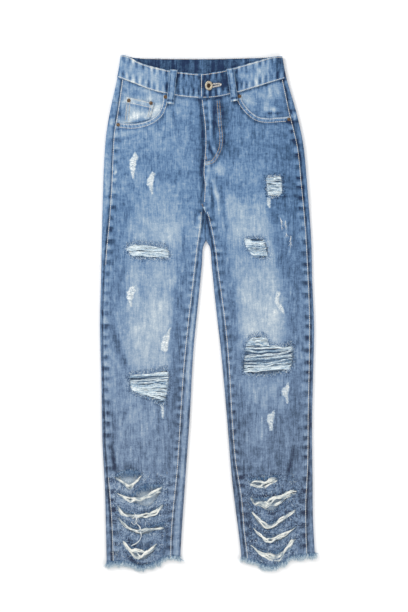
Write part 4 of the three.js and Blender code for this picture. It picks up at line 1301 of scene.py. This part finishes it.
# ------------------------------------------------------------------ filling yarns in the rips
# Undyed cotton filling yarns, about 0.8 mm thick, that are left where the blue warp has been cut
# away. They cross the rips in sagging bundles and go under the cloth at both sides.
yarns_rng = np.random.default_rng(11)


def tubes(paths, sides=4):
    """one mesh of thin round strands. A path is (points, radius along it, tone along it)."""
    points, faces, tones, start = [], [], [], 0
    turns = np.arange(sides) * 2 * math.pi / sides
    for line, radius, tone in paths:
        line = np.asarray(line, float)
        n = len(line)
        way = np.gradient(line, axis=0)
        way /= np.linalg.norm(way, axis=1)[:, None] + 1e-9
        across_it = np.cross(way, (0.0, 0.0, 1.0))
        size = np.linalg.norm(across_it, axis=1)[:, None]
        across_it = np.where(size > 1e-3, across_it / (size + 1e-9), (1.0, 0.0, 0.0))
        over = np.cross(across_it, way)
        r = np.broadcast_to(radius, (n,))[:, None, None]
        ring = (np.cos(turns)[None, :, None] * across_it[:, None]
                + np.sin(turns)[None, :, None] * over[:, None]) * r
        points.append((line[:, None] + ring).reshape(-1, 3))
        for i in range(n - 1):
            for k in range(sides):
                a, b = start + i * sides + k, start + i * sides + (k + 1) % sides
                faces.append((a, b, b + sides, a + sides))
        faces.append(tuple(start + k for k in range(sides))[::-1])
        faces.append(tuple(start + (n - 1) * sides + k for k in range(sides)))
        tones.append(np.repeat(np.broadcast_to(tone, (n,)), sides))
        start += n * sides
    return np.concatenate(points), faces, np.concatenate(tones)


def strands_piece(name, paths, material, sides=4, node=None):
    """a piece of cotton strands, shown in place of a node if it has one"""
    points, faces, tones = tubes(paths, sides)
    made = mesh_object(name, points, faces, {"tone": tones}, [material])
    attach(made, "root")
    if node:
        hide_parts(node)


def on_cloth(x, y):
    return crown(x, y) + relief(x, y)


def laid(strands):
    """puts flat strands down on the upper side. A strand is (x, y, lift, radius, tone)."""
    x, y = (np.concatenate([strand[k] for strand in strands]) for k in (0, 1))
    lift = np.concatenate([np.broadcast_to(strand[2], len(strand[0])) for strand in strands])
    placed = np.column_stack([x, y, on_cloth(x, y) + lift])
    parts = np.split(placed, np.cumsum([len(strand[0]) for strand in strands])[:-1])
    return [(part, strand[3], strand[4]) for part, strand in zip(parts, strands)]


def yarn_material(name, stops):
    """spun cotton: soft and matt, a little uneven along each yarn"""
    made, tree, spun, place = new_material(name)
    tone = add_node(tree, "ShaderNodeAttribute", attribute_name="tone").outputs["Fac"]
    # slubs about 3 mm long
    slub = add_node(tree, "ShaderNodeTexNoise", {
        "Vector": place, "Scale": 330.0, "Detail": 1.0}).outputs["Fac"]
    mixed = add_node(tree, "ShaderNodeMath", {0: slub, 1: 0.5, 2: tone}, operation="MULTIPLY_ADD")
    centred = add_node(tree, "ShaderNodeMath", {0: mixed.outputs[0], 1: 0.25}, operation="SUBTRACT")
    tree.links.new(colour_ramp(tree, centred.outputs[0], stops), spun.inputs["Base Color"])
    spun.inputs["Roughness"].default_value = 0.95
    spun.inputs["Specular IOR Level"].default_value = 0.1
    return made


# blue warp ends at the dark end of the scale, bleached white filling at the pale one
cotton_yarn = yarn_material("cotton_yarn", [
    (0.0, "28436a"), (0.22, "4f7299"), (0.45, "95b0c6"), (0.75, "dbe8ee"), (1.0, "f0f7f9")])


def row_extent(outline, y):
    """where a level line enters and leaves an outline"""
    p = np.array(outline, float)
    y = min(max(y, p[:, 1].min() + 0.3), p[:, 1].max() - 0.3)
    hits = []
    for (x0, y0), (x1, y1) in zip(p, np.roll(p, -1, axis=0)):
        if (y0 > y) != (y1 > y):
            hits.append(x0 + (x1 - x0) * (y - y0) / (y1 - y0))
    return min(hits), max(hits)


for name, rip in rips.items():
    paths = []
    low, high = np.min(rip["outline"], axis=0)[1], np.max(rip["outline"], axis=0)[1]
    seed = len(name) + int(high)
    for y_start, y_end, tall, sag in rip["bundles"]:
        count = int(tall / 0.62) + 2
        for k in range(count):
            t = np.linspace(0, 1, 19)
            off = ((k + 0.5) / count - 0.5) * tall * 1.1 + yarns_rng.uniform(-0.5, 0.5)
            x0, _ = row_extent(rip["outline"], y_start + off)
            _, x1 = row_extent(rip["outline"], y_end + off)
            x = x0 - 2.5 + (x1 - x0 + 5) * t
            y = y_start + (y_end - y_start) * t + off * (1 - 0.3 * np.sin(math.pi * t))
            y = y - sag * 4 * t * (1 - t) * (0.5 + yarns_rng.random())
            # neighbours share these bends, so they crowd together and leave gaps
            y = y + 1.9 * noise(x, y, (19, 5), seed) + 1.1 * noise(x, y, (8, 3), seed + 1)
            y = y + 0.5 * noise(x, y * 0 + k, (7, 1), seed + 2)
            y = np.clip(y, low - 2, high + 2)
            z = crown(x, y) - 0.9 + 1.5 * np.minimum(1, np.sin(math.pi * t) * 4)
            z = z + 0.9 * noise(x, y, (11, 2.2), k + 40)
            tone = 0.45 + 0.5 * yarns_rng.random() + 0.28 * noise(x, y, (8, 2), seed + 3)
            paths.append((np.column_stack([x, y, z]), 0.4 + 0.16 * yarns_rng.random(), tone))
    for _ in range(int(len(paths) * 0.25)):  # odd yarns that have slipped out of their bundles
        y_start = yarns_rng.uniform(low + 3, high - 3)
        y_end = y_start + yarns_rng.uniform(-7, 7)
        y_end = min(max(y_end, low + 3), high - 3)
        t = np.linspace(0, 1, 17)
        x0, _ = row_extent(rip["outline"], y_start)
        _, x1 = row_extent(rip["outline"], y_end)
        x = x0 - 2 + (x1 - x0 + 4) * t
        y = y_start + (y_end - y_start) * t + 2.2 * noise(x, x * 0, (14, 3), int(y_start * 10))
        z = crown(x, y) - 0.6 + 1.9 * np.minimum(1, np.sin(math.pi * t) * 4)
        paths.append((np.column_stack([x, y, z]), 0.34, 0.3 + 0.6 * yarns_rng.random()))
    strands_piece(f"{name}_yarns", paths, cotton_yarn, node=f"{name}_threads")

# ------------------------------------------------------------------ filling yarns in the slashes
# The same yarns, loose along the lower lip of each slash, where the cut cloth hangs in a swag.
# They have drawn together into a few thick cords that cross over one another.
loose_yarn = yarn_material("loose_cotton_yarn", [
    (0.0, "3b506c"), (0.22, "6f8398"), (0.45, "adb9bf"), (0.75, "e4e7e2"), (1.0, "f6f6f0")])
SLASH_YARNS = 40
for number, (name, (upper, lower, yarn_line, thick)) in enumerate(slashes.items()):
    lip = softened(yarn_line, 2.0)
    share = np.linspace(0, 1, len(lip))
    swell = np.interp(share, (0, 0.5, 1), thick)
    paths = []
    cords = 3
    for k in range(SLASH_YARNS):
        cord = k % cords
        start, end = yarns_rng.uniform(-0.02, 0.12), 1 - yarns_rng.uniform(-0.02, 0.12)
        if yarns_rng.random() < 0.35:  # a yarn that has broken off part of the way
            start, end = sorted((yarns_rng.uniform(0, 0.7), yarns_rng.uniform(0.3, 1)))
            end = max(end, start + 0.25)
        t = np.clip(np.linspace(start, end, 24), 0, 1)
        x, y = np.interp(t, share, lip[:, 0]), np.interp(t, share, lip[:, 1])
        tuft = np.interp(t, share, swell) * (0.5 + 0.5 * np.sin(math.pi * t) ** 0.4)
        level = (cord + 0.5) / cords - 0.5 + 0.5 * noise(x, x * 0 + cord, (10, 1), number + 7)
        stray = yarns_rng.normal(0, 0.1) + 0.14 * noise(x, x * 0 + k, (8, 1), number)
        y = y + 1.2 * tuft * (level + stray)
        x = x + 0.6 * noise(y, x, 6, k)
        z = crown(x, y) + 0.9 + 0.9 * noise(x, y * 0 + cord, (9, 1), number + 30)
        z = z + 0.6 * yarns_rng.random() + 0.9 * bump((level + stray) / 0.4)
        z = z - 1.6 * (bump((t - start) / 0.03) + bump((t - end) / 0.03))
        tone = 0.42 + 0.5 * yarns_rng.random() + 0.4 * noise(x, y * 0 + cord, (6, 1), number + 3)
        tone = tone - 0.3 * (bump(t / 0.06) + bump((t - 1) / 0.06))
        paths.append((np.column_stack([x, y, z]), 0.42 + 0.18 * yarns_rng.random(), tone))
    strands_piece(f"{name}_yarns", paths, loose_yarn, node=f"{name}_threads")

# ------------------------------------------------------------------ frayed lips
# Short ends of cut blue warp and white filling that stand out all along the rips and slashes,
# and a long yarn that has come loose on the right shin.
fuzz_rng = np.random.default_rng(5)
frayed_warp = yarn_material("frayed_indigo_warp", [
    (0.0, "20395f"), (0.3, "456993"), (0.58, "7b9bbd"), (0.8, "bacbd8"), (1.0, "eef3f4")])
fuzz = []


def fibre(x, y, way, length, tone, thick=0.3, rise=0.7, curl=0.5):
    """a short curling fibre from a place on the cloth"""
    t = np.linspace(0, 1, 4)
    angle = way + fuzz_rng.uniform(-curl, curl) * t
    return (x + length * t * np.cos(angle), y + length * t * np.sin(angle),
            rise * np.sin(math.pi * t * 0.7) - 0.1, thick * np.array([1, 1, 0.8, 0.4]), tone)


def pale_or_dark(share_pale):
    return (fuzz_rng.uniform(0.45, 0.85) if fuzz_rng.random() < share_pale
            else fuzz_rng.uniform(0.08, 0.32))


for name, (upper, _, yarn_line, _) in slashes.items():
    loop = slash_loop(name)
    ahead = np.roll(loop, -1, axis=0) - loop
    for (x, y), (dx, dy) in zip(loop, ahead):
        for _ in range(3):
            s = fuzz_rng.random()
            way = math.atan2(dy, dx) - math.pi / 2 + fuzz_rng.uniform(-0.9, 0.9)
            fuzz.append(fibre(x + s * dx, y + s * dy, way, fuzz_rng.uniform(1.5, 5),
                              pale_or_dark(0.5)))
    # warp ends hang down from the upper lip towards the white yarns
    top, line = softened(upper, 0.3), np.array(yarn_line, float)
    for x, y in top:
        reach = y - float(np.interp(x, line[:, 0], line[:, 1]))
        if reach < 1.5 or fuzz_rng.random() < 0.1:
            continue
        length = min(reach * fuzz_rng.uniform(0.2, 1.1), 15)
        pale = fuzz_rng.random() < 0.72
        tone = fuzz_rng.uniform(0.38, 0.72) if pale else fuzz_rng.uniform(0.1, 0.3)
        fuzz.append(fibre(x + fuzz_rng.uniform(-1, 1), y + 0.8,
                          -math.pi / 2 + fuzz_rng.normal(0, 0.24),
                          length, tone, 0.36, fuzz_rng.uniform(-0.5, 0.6), 0.6))
for k in range(3):
    for line in ([(-134 + k, -418), (-130 + k * 0.5, -428), (-131, -437), (-138, -446 + k),
                  (-150, -451)],
                 [(-143, -386), (-139 + k, -396), (-140, -404), (-133 + k, -414), (-131, -422)],
                 [(-147 + k, -398), (-141, -394 + k), (-137, -402), (-143, -409), (-149, -404)]):
        line = softened(line, 2.5)
        fuzz.append((line[:, 0], line[:, 1], 1.4 + 0.3 * k, 0.5, 1.0))
strands_piece("frayed_slash_lips", laid(fuzz), frayed_warp, 3)

# tufts that stand up in the washed cloth between the slashes, and the ends round the rips
fuzz = []
slash_loops = [slash_loop(name) for name in slashes]
TUFTS_A_LEG = 760
for left, right in ((-184, -78), (78, 176)):
    for _ in range(TUFTS_A_LEG):
        x, y = fuzz_rng.uniform(left, right), fuzz_rng.uniform(-488, -312)
        side = "right" if x < 0 else "left"
        if y < hem[side](x) + 3 or any(inside(np.array([[x, y]]), loop)[0] for loop in slash_loops):
            continue
        way = fuzz_rng.choice([0, math.pi / 2, math.pi / 2]) + fuzz_rng.normal(0, 0.4)
        shade = fuzz_rng.uniform(0.16, 0.92)
        fuzz.append(fibre(x, y, way, fuzz_rng.uniform(3, 7.5), shade, 0.36, 0.35, 0.7))
for name, rip in rips.items():
    loop = softened(closed(rip["outline"]), 1.1)
    middle = loop.mean(0)
    band = {"rip_hip_left": 3, "rip_thigh_left": 5}.get(name, 9)
    for (x, y), (dx, dy) in zip(loop[:-1], np.diff(loop, axis=0)):
        upright = abs(dy) > abs(dx) * 1.6
        above = y > middle[1]
        for _ in range(2 if upright else 5):
            s = fuzz_rng.random()
            if upright:  # ends of filling, across
                way = fuzz_rng.choice([0, math.pi]) + fuzz_rng.normal(0, 0.25)
                fuzz.append(fibre(x, y + s * dy, way, fuzz_rng.uniform(1.5, 5), pale_or_dark(0.7)))
                continue
            out = fuzz_rng.uniform(-1, band if above else band * 0.55) * (1 if above else -1)
            way = math.pi / 2 + fuzz_rng.normal(0, 0.22)
            fuzz.append(fibre(x + s * dx, y + out, way, fuzz_rng.uniform(1.5, 4),
                              fuzz_rng.uniform(0.22, 0.95), 0.38, 0.4))
for outline, white in abrasions:
    if white < 0.9:
        continue
    low, high = np.min(outline, axis=0), np.max(outline, axis=0)
    for y in np.arange(low[1] + 1, high[1] - 1, 0.8):
        x0, x1 = row_extent(outline, y)
        for _ in range(2):
            long = fuzz_rng.uniform(0.35, 0.9) * (x1 - x0)
            x = fuzz_rng.uniform(x0 - 1, x1 + 1 - long)
            fuzz.append(fibre(x, y, fuzz_rng.normal(0, 0.2), long,
                              fuzz_rng.uniform(0.66, 1.12), 0.33, 0.3))
for (x0, y0), (x1, y1) in scratches[:3]:
    for _ in range(9):
        s = fuzz_rng.uniform(0, 0.7)
        way = math.atan2(y1 - y0, x1 - x0) + fuzz_rng.normal(0, 0.06)
        fuzz.append(fibre(x0 + s * (x1 - x0) + fuzz_rng.uniform(-0.5, 0.5), y0 + s * (y1 - y0), way,
                          fuzz_rng.uniform(7, 12), fuzz_rng.uniform(0.95, 1.1), 0.34))
strands_piece("frayed_ends", laid(fuzz), frayed_warp, 3)

# ------------------------------------------------------------------ frayed hems
# The hems are cut raw: the last rows of filling have dropped out and the warp ends hang free,
# blue at the cloth and bleached white at their tips.
for side in ("right", "left"):
    rng = np.random.default_rng(3 if side == "right" else 4)
    paths = []
    ends = [float(side_edge[side](-480.0)), float(inner_edge[side](-480.0))]
    left, right = min(ends), max(ends)
    for layer, gap in (("top", 0.15), ("bottom", 0.45)):
        for x in np.arange(left + 0.6, right - 0.6, gap):
            x = x + rng.uniform(-0.3, 0.3)
            y = float(hem[side](x))
            clump = float(noise(x, 0, 6, 17))
            long = rng.uniform(4, 9.5) + 2.6 * clump
            lean = rng.normal(0, 0.3) + 0.4 * clump
            lean += 0.75 * float(bump((x - right) / 10) - bump((x - left) / 10))
            t = np.linspace(0, 1, 5)
            up = rng.uniform(0, 7) if layer == "top" else 1.0
            px = x + long * t * math.sin(lean) + 0.8 * np.sin(5 * t + x)
            py = y + up - (long + up) * t * math.cos(lean)
            if layer == "top":
                round_off = float(np.clip(min(x - left, right - x) / FOLD_R, 0, 1))
                base = FOLD_R + (float(crown(x, y)) - FOLD_R) * math.sqrt(1 - (1 - round_off) ** 2)
                past = np.clip((y - py) / 8, 0, 1)
                pz = base + 0.5 - 3.2 * past * rng.uniform(0.2, 1) + 0.5 * np.sin(6 * t + x)
            else:
                pz = 0.5 + 0.6 * t * rng.random()
            tone = np.interp(t, (0, 0.5, 1), (0.3, 0.6, 0.85)) + rng.uniform(-0.25, 0.15)
            paths.append((np.column_stack([px, py, pz]), 0.36 * np.array([1, 1, 1, 0.8, 0.4]),
                          tone))
    strands_piece(f"hem_fringe_{side}", paths, cotton_yarn, 3, f"hem_fringe_{side}")

# ------------------------------------------------------------------ topstitching
# Lockstitch in thick cotton thread, about 3.6 mm a stitch: cream that has washed nearly white
# down the legs and round the band, and tan at the fly and the pockets.
STITCH_PITCH, STITCH_LONG, STITCH_WIDE = 3.6, 3.1, 1.0
thread_cream = yarn_material("cream_topstitch_thread", [(0.0, "a59c8c"), (0.8, "f0ede6")])
thread_tan = yarn_material("tan_topstitch_thread", [(0.0, "5f4c40"), (0.8, "cdb596")])
stitch_rng = np.random.default_rng(8)


def stitch_row(line, height, tone=0.7, under=False, pitch=STITCH_PITCH):
    """stitches along a line in plan. height gives the cloth's face at each place."""
    line = np.array(line, float)
    run = np.concatenate([[0], np.cumsum(np.hypot(*np.diff(line, axis=0).T))])
    middles = np.arange(pitch * 0.5, run[-1] - pitch * 0.4, pitch)
    s = middles[:, None] + STITCH_LONG * np.array([-0.5, -0.3, 0.3, 0.5])
    x, y = np.interp(s, run, line[:, 0]), np.interp(s, run, line[:, 1])
    y = y + stitch_rng.uniform(-0.12, 0.12, (len(s), 1))
    up = -1 if under else 1
    z = height(x.ravel(), y.ravel()).reshape(x.shape) + up * np.array([-0.35, 0.15, 0.15, -0.35])
    tones = tone + stitch_rng.uniform(-0.25, 0.2, len(s))
    radius = STITCH_WIDE / 2 * np.array([0.55, 1, 1, 0.55])
    return [(np.column_stack(row), radius, shade) for *row, shade in zip(x, y, z, tones)]


def on_band(x, y):
    rise = (y - band_bottom_front(x)) / (band_top_front(x) - band_bottom_front(x))
    return crown(x, y) + BAND_PROUD + 0.35 + 0.2 * bump((rise - 0.06) / 0.05)


def on_underside(x, y):
    return np.maximum(underside(y) - 0.1, 0.3)


def under_band(x, y):
    return underside(y) - 0.9


def beside(line, off):
    """the same line moved sideways, to the left of its way for a positive move"""
    line = np.array(line, float)
    way = np.gradient(line, axis=0)
    way /= np.hypot(*way.T)[:, None]
    return line + np.column_stack([-way[:, 1], way[:, 0]]) * off


cream, tan = [], []
# seam, from y, to y, how far beside it, tone
for seam, start, end, off, tone in (
    (side_seam["right"], 452, 92, 2.0, 0.7), (side_seam["right"], -318, -482, 2.0, 0.7),
    (side_seam["left"], 452, -470, -2.0, 0.7), (inseam["right"], 196, -474, -3.4, 0.8),
    (inseam["left"], 196, -478, 3.4, 0.8), (centre_front, 413, 214, 1.8, 0.8),
):
    cream += stitch_row(down(seam, start, end, off), on_cloth, tone)
fly_row = softened(fly_curve, 2.5)
tan += stitch_row(beside(fly_row, -2.2), on_cloth, 0.6)
tan += stitch_row(beside(fly_row, 2.6), on_cloth, 0.5)
for side in ("right", "left"):
    out = OUT[side]
    mouth = softened(pocket_mouth[side], 2.4)
    mouth = mouth[(mouth[:, 0] - side_seam[side](mouth[:, 1]) + out * 3) * out < 0]
    mouth = mouth[mouth[:, 1] < 424]
    cream += stitch_row(beside(mouth, -out * 2.0), on_cloth, 0.8)
    cream += stitch_row(beside(mouth, -out * 8.5)[2:-1], on_cloth, 0.6)
coin_top = np.array([(-157, 417.4), (-105, 405.6)])


def on_coin(x, y):
    return crown(x, y) + 0.4


cream += stitch_row(coin_top, on_coin, 0.6)
cream += stitch_row(coin_top + (0.4, -8.6), on_coin, 0.6)
for start, end in (((-156.2, 414), (-160, 373)), ((-151, 412), (-154.5, 372)),
                   ((-106.6, 404), (-113.2, 379)), ((-111.5, 404), (-117.5, 377))):
    cream += stitch_row([start, end], on_coin, 0.45)
for edge, start, end, off, tone in (
    (band_top_front, -13, 145, -2.4, 0.7), (band_top_front, -168, -17, -2.4, 0.7),
    (band_bottom_front, -13, 150, 1.8, 0.75), (band_bottom_front, -174, -17, 1.8, 0.75),
):
    cream += stitch_row(across(edge, start, end, off), on_band, tone)
cream += stitch_row([(-12.6, 419), (-12.6, 462)], lambda x, y: on_band(x, y) + 0.45, 0.85)
cream += stitch_row(across(band_top_back, -132, 118, -0.9), lambda x, y: x * 0 + 6.7, 0.75)
for name, (foot, head) in front_loops.items():
    foot, head = np.array(foot, float), np.array(head, float)
    length = float(np.hypot(*(head - foot)))

    def on_loop(x, y):
        return loop_height(np.hypot(x - foot[0], y - foot[1]), length) + 0.2

    for off in (-3.4, 3.4):
        cream += stitch_row(beside(np.linspace(foot, head, 20), off)[1:-1], on_loop, 0.75)
    for drop in (2.0, 3.6):
        cream += stitch_row([foot + (-4.8, drop), foot + (4.8, drop)], on_loop, 0.95, pitch=2.2)
    tan += stitch_row([foot + (-4.6, 5.6), foot + (4.6, 5.6)], on_loop, 0.2, pitch=2.2)
tan += stitch_row([(-5.5, 309), (-2.5, 298)], on_cloth, 0.3, pitch=1.1)
tan += stitch_row([(-12, 212), (-6.5, 200)], on_cloth, 0.4, pitch=1.3)
for side in ("right", "left"):
    start = float(side_edge[side](415)) - 8 * OUT[side]
    seam_line = across(yoke_seam, start, -12 if side == "right" else -4, -2.2, 6)
    cream += stitch_row(seam_line, on_underside, 0.5, True)
    cream += stitch_row(seam_line - (0, 6), on_underside, 0.5, True)

    def on_patch(x, y):
        return x * 0 + 0.65

    for inset in (2.0, 7.5):
        scale_u, scale_v = 1 - inset / POCKET_HALF, 1 - inset / POCKET_DEEP
        corners = [(u * scale_u, v * scale_v) for u, v in pocket_corners]
        loop = [corners[0], corners[4], corners[3], corners[2], corners[1]]
        line = [on_pocket(side, u, v) for u, v in loop]
        dense = np.concatenate([np.linspace(a, b, 12) for a, b in zip(line[:-1], line[1:])])
        cream += stitch_row(dense, on_patch, 0.5, True, 4.4)
    for drop in (3, 11):
        ends = [on_pocket(side, u, -drop) for u in (4 - POCKET_HALF, POCKET_HALF - 4)]
        cream += stitch_row(np.linspace(*ends, 12), on_patch, 0.5, True, 4.4)
cream += stitch_row(down(centre_back, 366, 150, -3), on_underside, 0.5, True)
cream += stitch_row(across(band_bottom_back, -150, 128, 2.2), under_band, 0.5, True)
cream += stitch_row(across(band_top_back, -150, 128, -2.4), under_band, 0.5, True)
for name, rows, look in (("cream", cream, thread_cream), ("tan", tan, thread_tan)):
    strands_piece(f"topstitching_{name}", rows, look, 5)

# ------------------------------------------------------------------ button
# A shank button at the closed front of the band: a turned ring of aged brass round a dark well,
# with the buttonhole's thick cream edging showing to its right. It stays done up.
BUTTON_AT = (1.5, 440.5)


def metal(name, bright, dark):
    """cast brass or copper, aged: darker and duller in blotches about 2 mm across"""
    made, tree, cast, place = new_material(name)
    blotch = add_node(tree, "ShaderNodeTexNoise", {
        "Vector": place, "Scale": 480.0, "Detail": 3.0}).outputs["Fac"]
    colour = colour_ramp(tree, blotch, [(0.35, dark), (0.62, bright)])
    tree.links.new(colour, cast.inputs["Base Color"])
    rough = add_node(tree, "ShaderNodeMapRange", {
        "Value": blotch, "From Min": 0.3, "From Max": 0.7,
        "To Min": 0.6, "To Max": 0.36}).outputs[0]
    tree.links.new(rough, cast.inputs["Roughness"])
    cast.inputs["Metallic"].default_value = 0.75
    return made


def turned_cap(vertices, radius, depth, insets, bevel, segments, place=(0, 0, 0)):
    """a disc in mm at a place, with steps (inset, depth) turned into its top and its edges
    rounded"""
    bpy.ops.object.select_all(action="DESELECT")
    bpy.ops.mesh.primitive_cylinder_add(
        vertices=vertices, radius=radius * MM, depth=depth * MM,
        location=[v * MM for v in place])
    made = bpy.context.object
    bpy.ops.object.mode_set(mode="EDIT")
    bpy.ops.mesh.select_mode(type="FACE")
    bpy.ops.mesh.select_all(action="DESELECT")
    bpy.ops.object.mode_set(mode="OBJECT")
    top_face = max(made.data.polygons, key=lambda f: f.center.z * (len(f.vertices) > 4))
    top_face.select = True
    bpy.ops.object.mode_set(mode="EDIT")
    for inset, step in insets:
        bpy.ops.mesh.inset(thickness=inset * MM, depth=step * MM)
    bpy.ops.object.mode_set(mode="OBJECT")
    rounded = made.modifiers.new("rounded", "BEVEL")
    rounded.width, rounded.segments, rounded.limit_method = bevel * MM, segments, "ANGLE"
    bpy.ops.object.modifier_apply(modifier="rounded")
    return made


aged_brass = metal("aged_brass", "d2cab6", "8d7c60")
dark_brass = metal("dark_brass", "4a3728", "2a2019")
BUTTON_SHAPE = (0.94, 1.16)  # seen a little turned on its shank, it is narrower than it is tall
WELL_RADIUS = 3.9
top = float(crown(*BUTTON_AT)) + 0.8 + 0.5
button = turned_cap(48, 7.9, 2.6, ((3.6, 0), (0.9, -1.5)), 1.0, 3, (*BUTTON_AT, top + 1.6))
button.name = "button_ring"
button.data.transform(Matrix.Diagonal((*BUTTON_SHAPE, 1, 1)))
bpy.ops.object.transform_apply(location=True, rotation=True, scale=True)
bpy.ops.object.shade_smooth_by_angle(angle=math.radians(40))
button.data.materials.append(aged_brass)
button.data.materials.append(dark_brass)
for face in button.data.polygons:
    away = math.hypot(*((face.center[k] / MM - BUTTON_AT[k]) / BUTTON_SHAPE[k] for k in (0, 1)))
    in_well = away < WELL_RADIUS and face.normal.z > 0.2 and face.center.z / MM < top + 2.6
    face.material_index = int(in_well)
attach(button, "root")
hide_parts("button")
eyelet = []
for n, (x, y) in enumerate(softened([(9, 443.6), (16, 444.4), (23, 444.2), (25.6, 443), (22, 440.9),
                                     (15, 439.4), (8.6, 438.2)], 0.95)):
    t = np.linspace(-0.5, 0.5, 4)
    lean = 0.4 * math.sin(n * 2.1)
    height = on_band(x, y) + 0.35 - 1.2 * t * t * 2
    eyelet.append((np.column_stack([x + lean * t * 2, y + t * 3.0, height]),
                   0.36, 0.55 + 0.25 * math.sin(n * 1.7)))
strands_piece("buttonhole_edging", eyelet, thread_cream, 5)

# ------------------------------------------------------------------ rivets
# Six small copper rivets that pin the corners of the pockets: a domed cap with a raised rim.
aged_copper = metal("aged_copper", "7d6650", "38302b")
rivet_places = {
    "rivet_coin_outer": (-153.5, 412), "rivet_coin_inner": (-110.5, 407),
    "rivet_mouth_right_top": (-82.5, 419), "rivet_mouth_right_side": (-174, 365),
    "rivet_mouth_left_top": (61, 420), "rivet_mouth_left_side": (156.5, 375.5),
}
first_rivet = None
for name, (x, y) in rivet_places.items():
    z = float(crown(x, y)) + 0.5
    if first_rivet is None:
        rivet = turned_cap(32, 3.5, 1.3, ((0.9, 0), (0.4, -0.4), (0.9, 0.5)), 0.25, 2)
        bpy.ops.object.shade_smooth_by_angle(angle=math.radians(40))
        rivet.data.materials.append(aged_copper)
        first_rivet = rivet.data.copy()
    else:
        rivet = bpy.data.objects.new(name, first_rivet.copy())
        bpy.context.scene.collection.objects.link(rivet)
    rivet.name = f"{name}_cap"
    rivet.data.transform(Matrix.Translation((x * MM, y * MM, (z + 0.35) * MM)))
    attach(rivet, "root")
    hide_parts(name)

# ------------------------------------------------------------------ studio floor, light and camera
# A plain white table in an evenly lit white room, with two large soft lights, and a camera
# straight above.
bpy.ops.object.select_all(action="DESELECT")
TABLE_SIZE, TABLE_TOP = 6, -0.0004  # m, a little below the lowest piece
bpy.ops.mesh.primitive_plane_add(size=TABLE_SIZE, location=(0, 0, TABLE_TOP))
floor = bpy.context.object
floor.name = "white_table"
paper, _, sheet, _ = new_material("matt_white_paper")
sheet.inputs["Base Color"].default_value = (0.97, 0.97, 0.97, 1)
sheet.inputs["Roughness"].default_value = 0.9
floor.data.materials.append(paper)
world = bpy.data.worlds.new("soft_white_room")
world.use_nodes = True
world.node_tree.nodes["Background"].inputs["Color"].default_value = (1, 1, 1, 1)
world.node_tree.nodes["Background"].inputs["Strength"].default_value = 0.74
bpy.context.scene.world = world
for name, place, size, power in (
    ("key_softbox", (-1.5, 1.5, 1.8), 1.0, 34), ("fill_softbox", (1.5, -1.6, 2.0), 1.6, 22),
):
    lamp = bpy.data.lights.new(name, "AREA")
    lamp.size = size
    lamp.energy = power
    made = bpy.data.objects.new(name, lamp)
    made.location = place
    aim = -np.array(place) / np.linalg.norm(place)
    made.rotation_euler = Vector(aim).to_track_quat("-Z", "Y").to_euler()
    bpy.context.scene.collection.objects.link(made)

camera_data = bpy.data.cameras.new("camera")
CAMERA_HEIGHT = 4.0
VIEW_HEIGHT = 1.1873
camera_data.lens = 36 * CAMERA_HEIGHT / VIEW_HEIGHT
camera_data.clip_end = 20
camera = bpy.data.objects.new("camera", camera_data)
camera.location = (-0.0078, 0.0141, CAMERA_HEIGHT)
bpy.context.scene.collection.objects.link(camera)
bpy.context.scene.camera = camera
bpy.context.scene.view_settings.view_transform = "Standard"
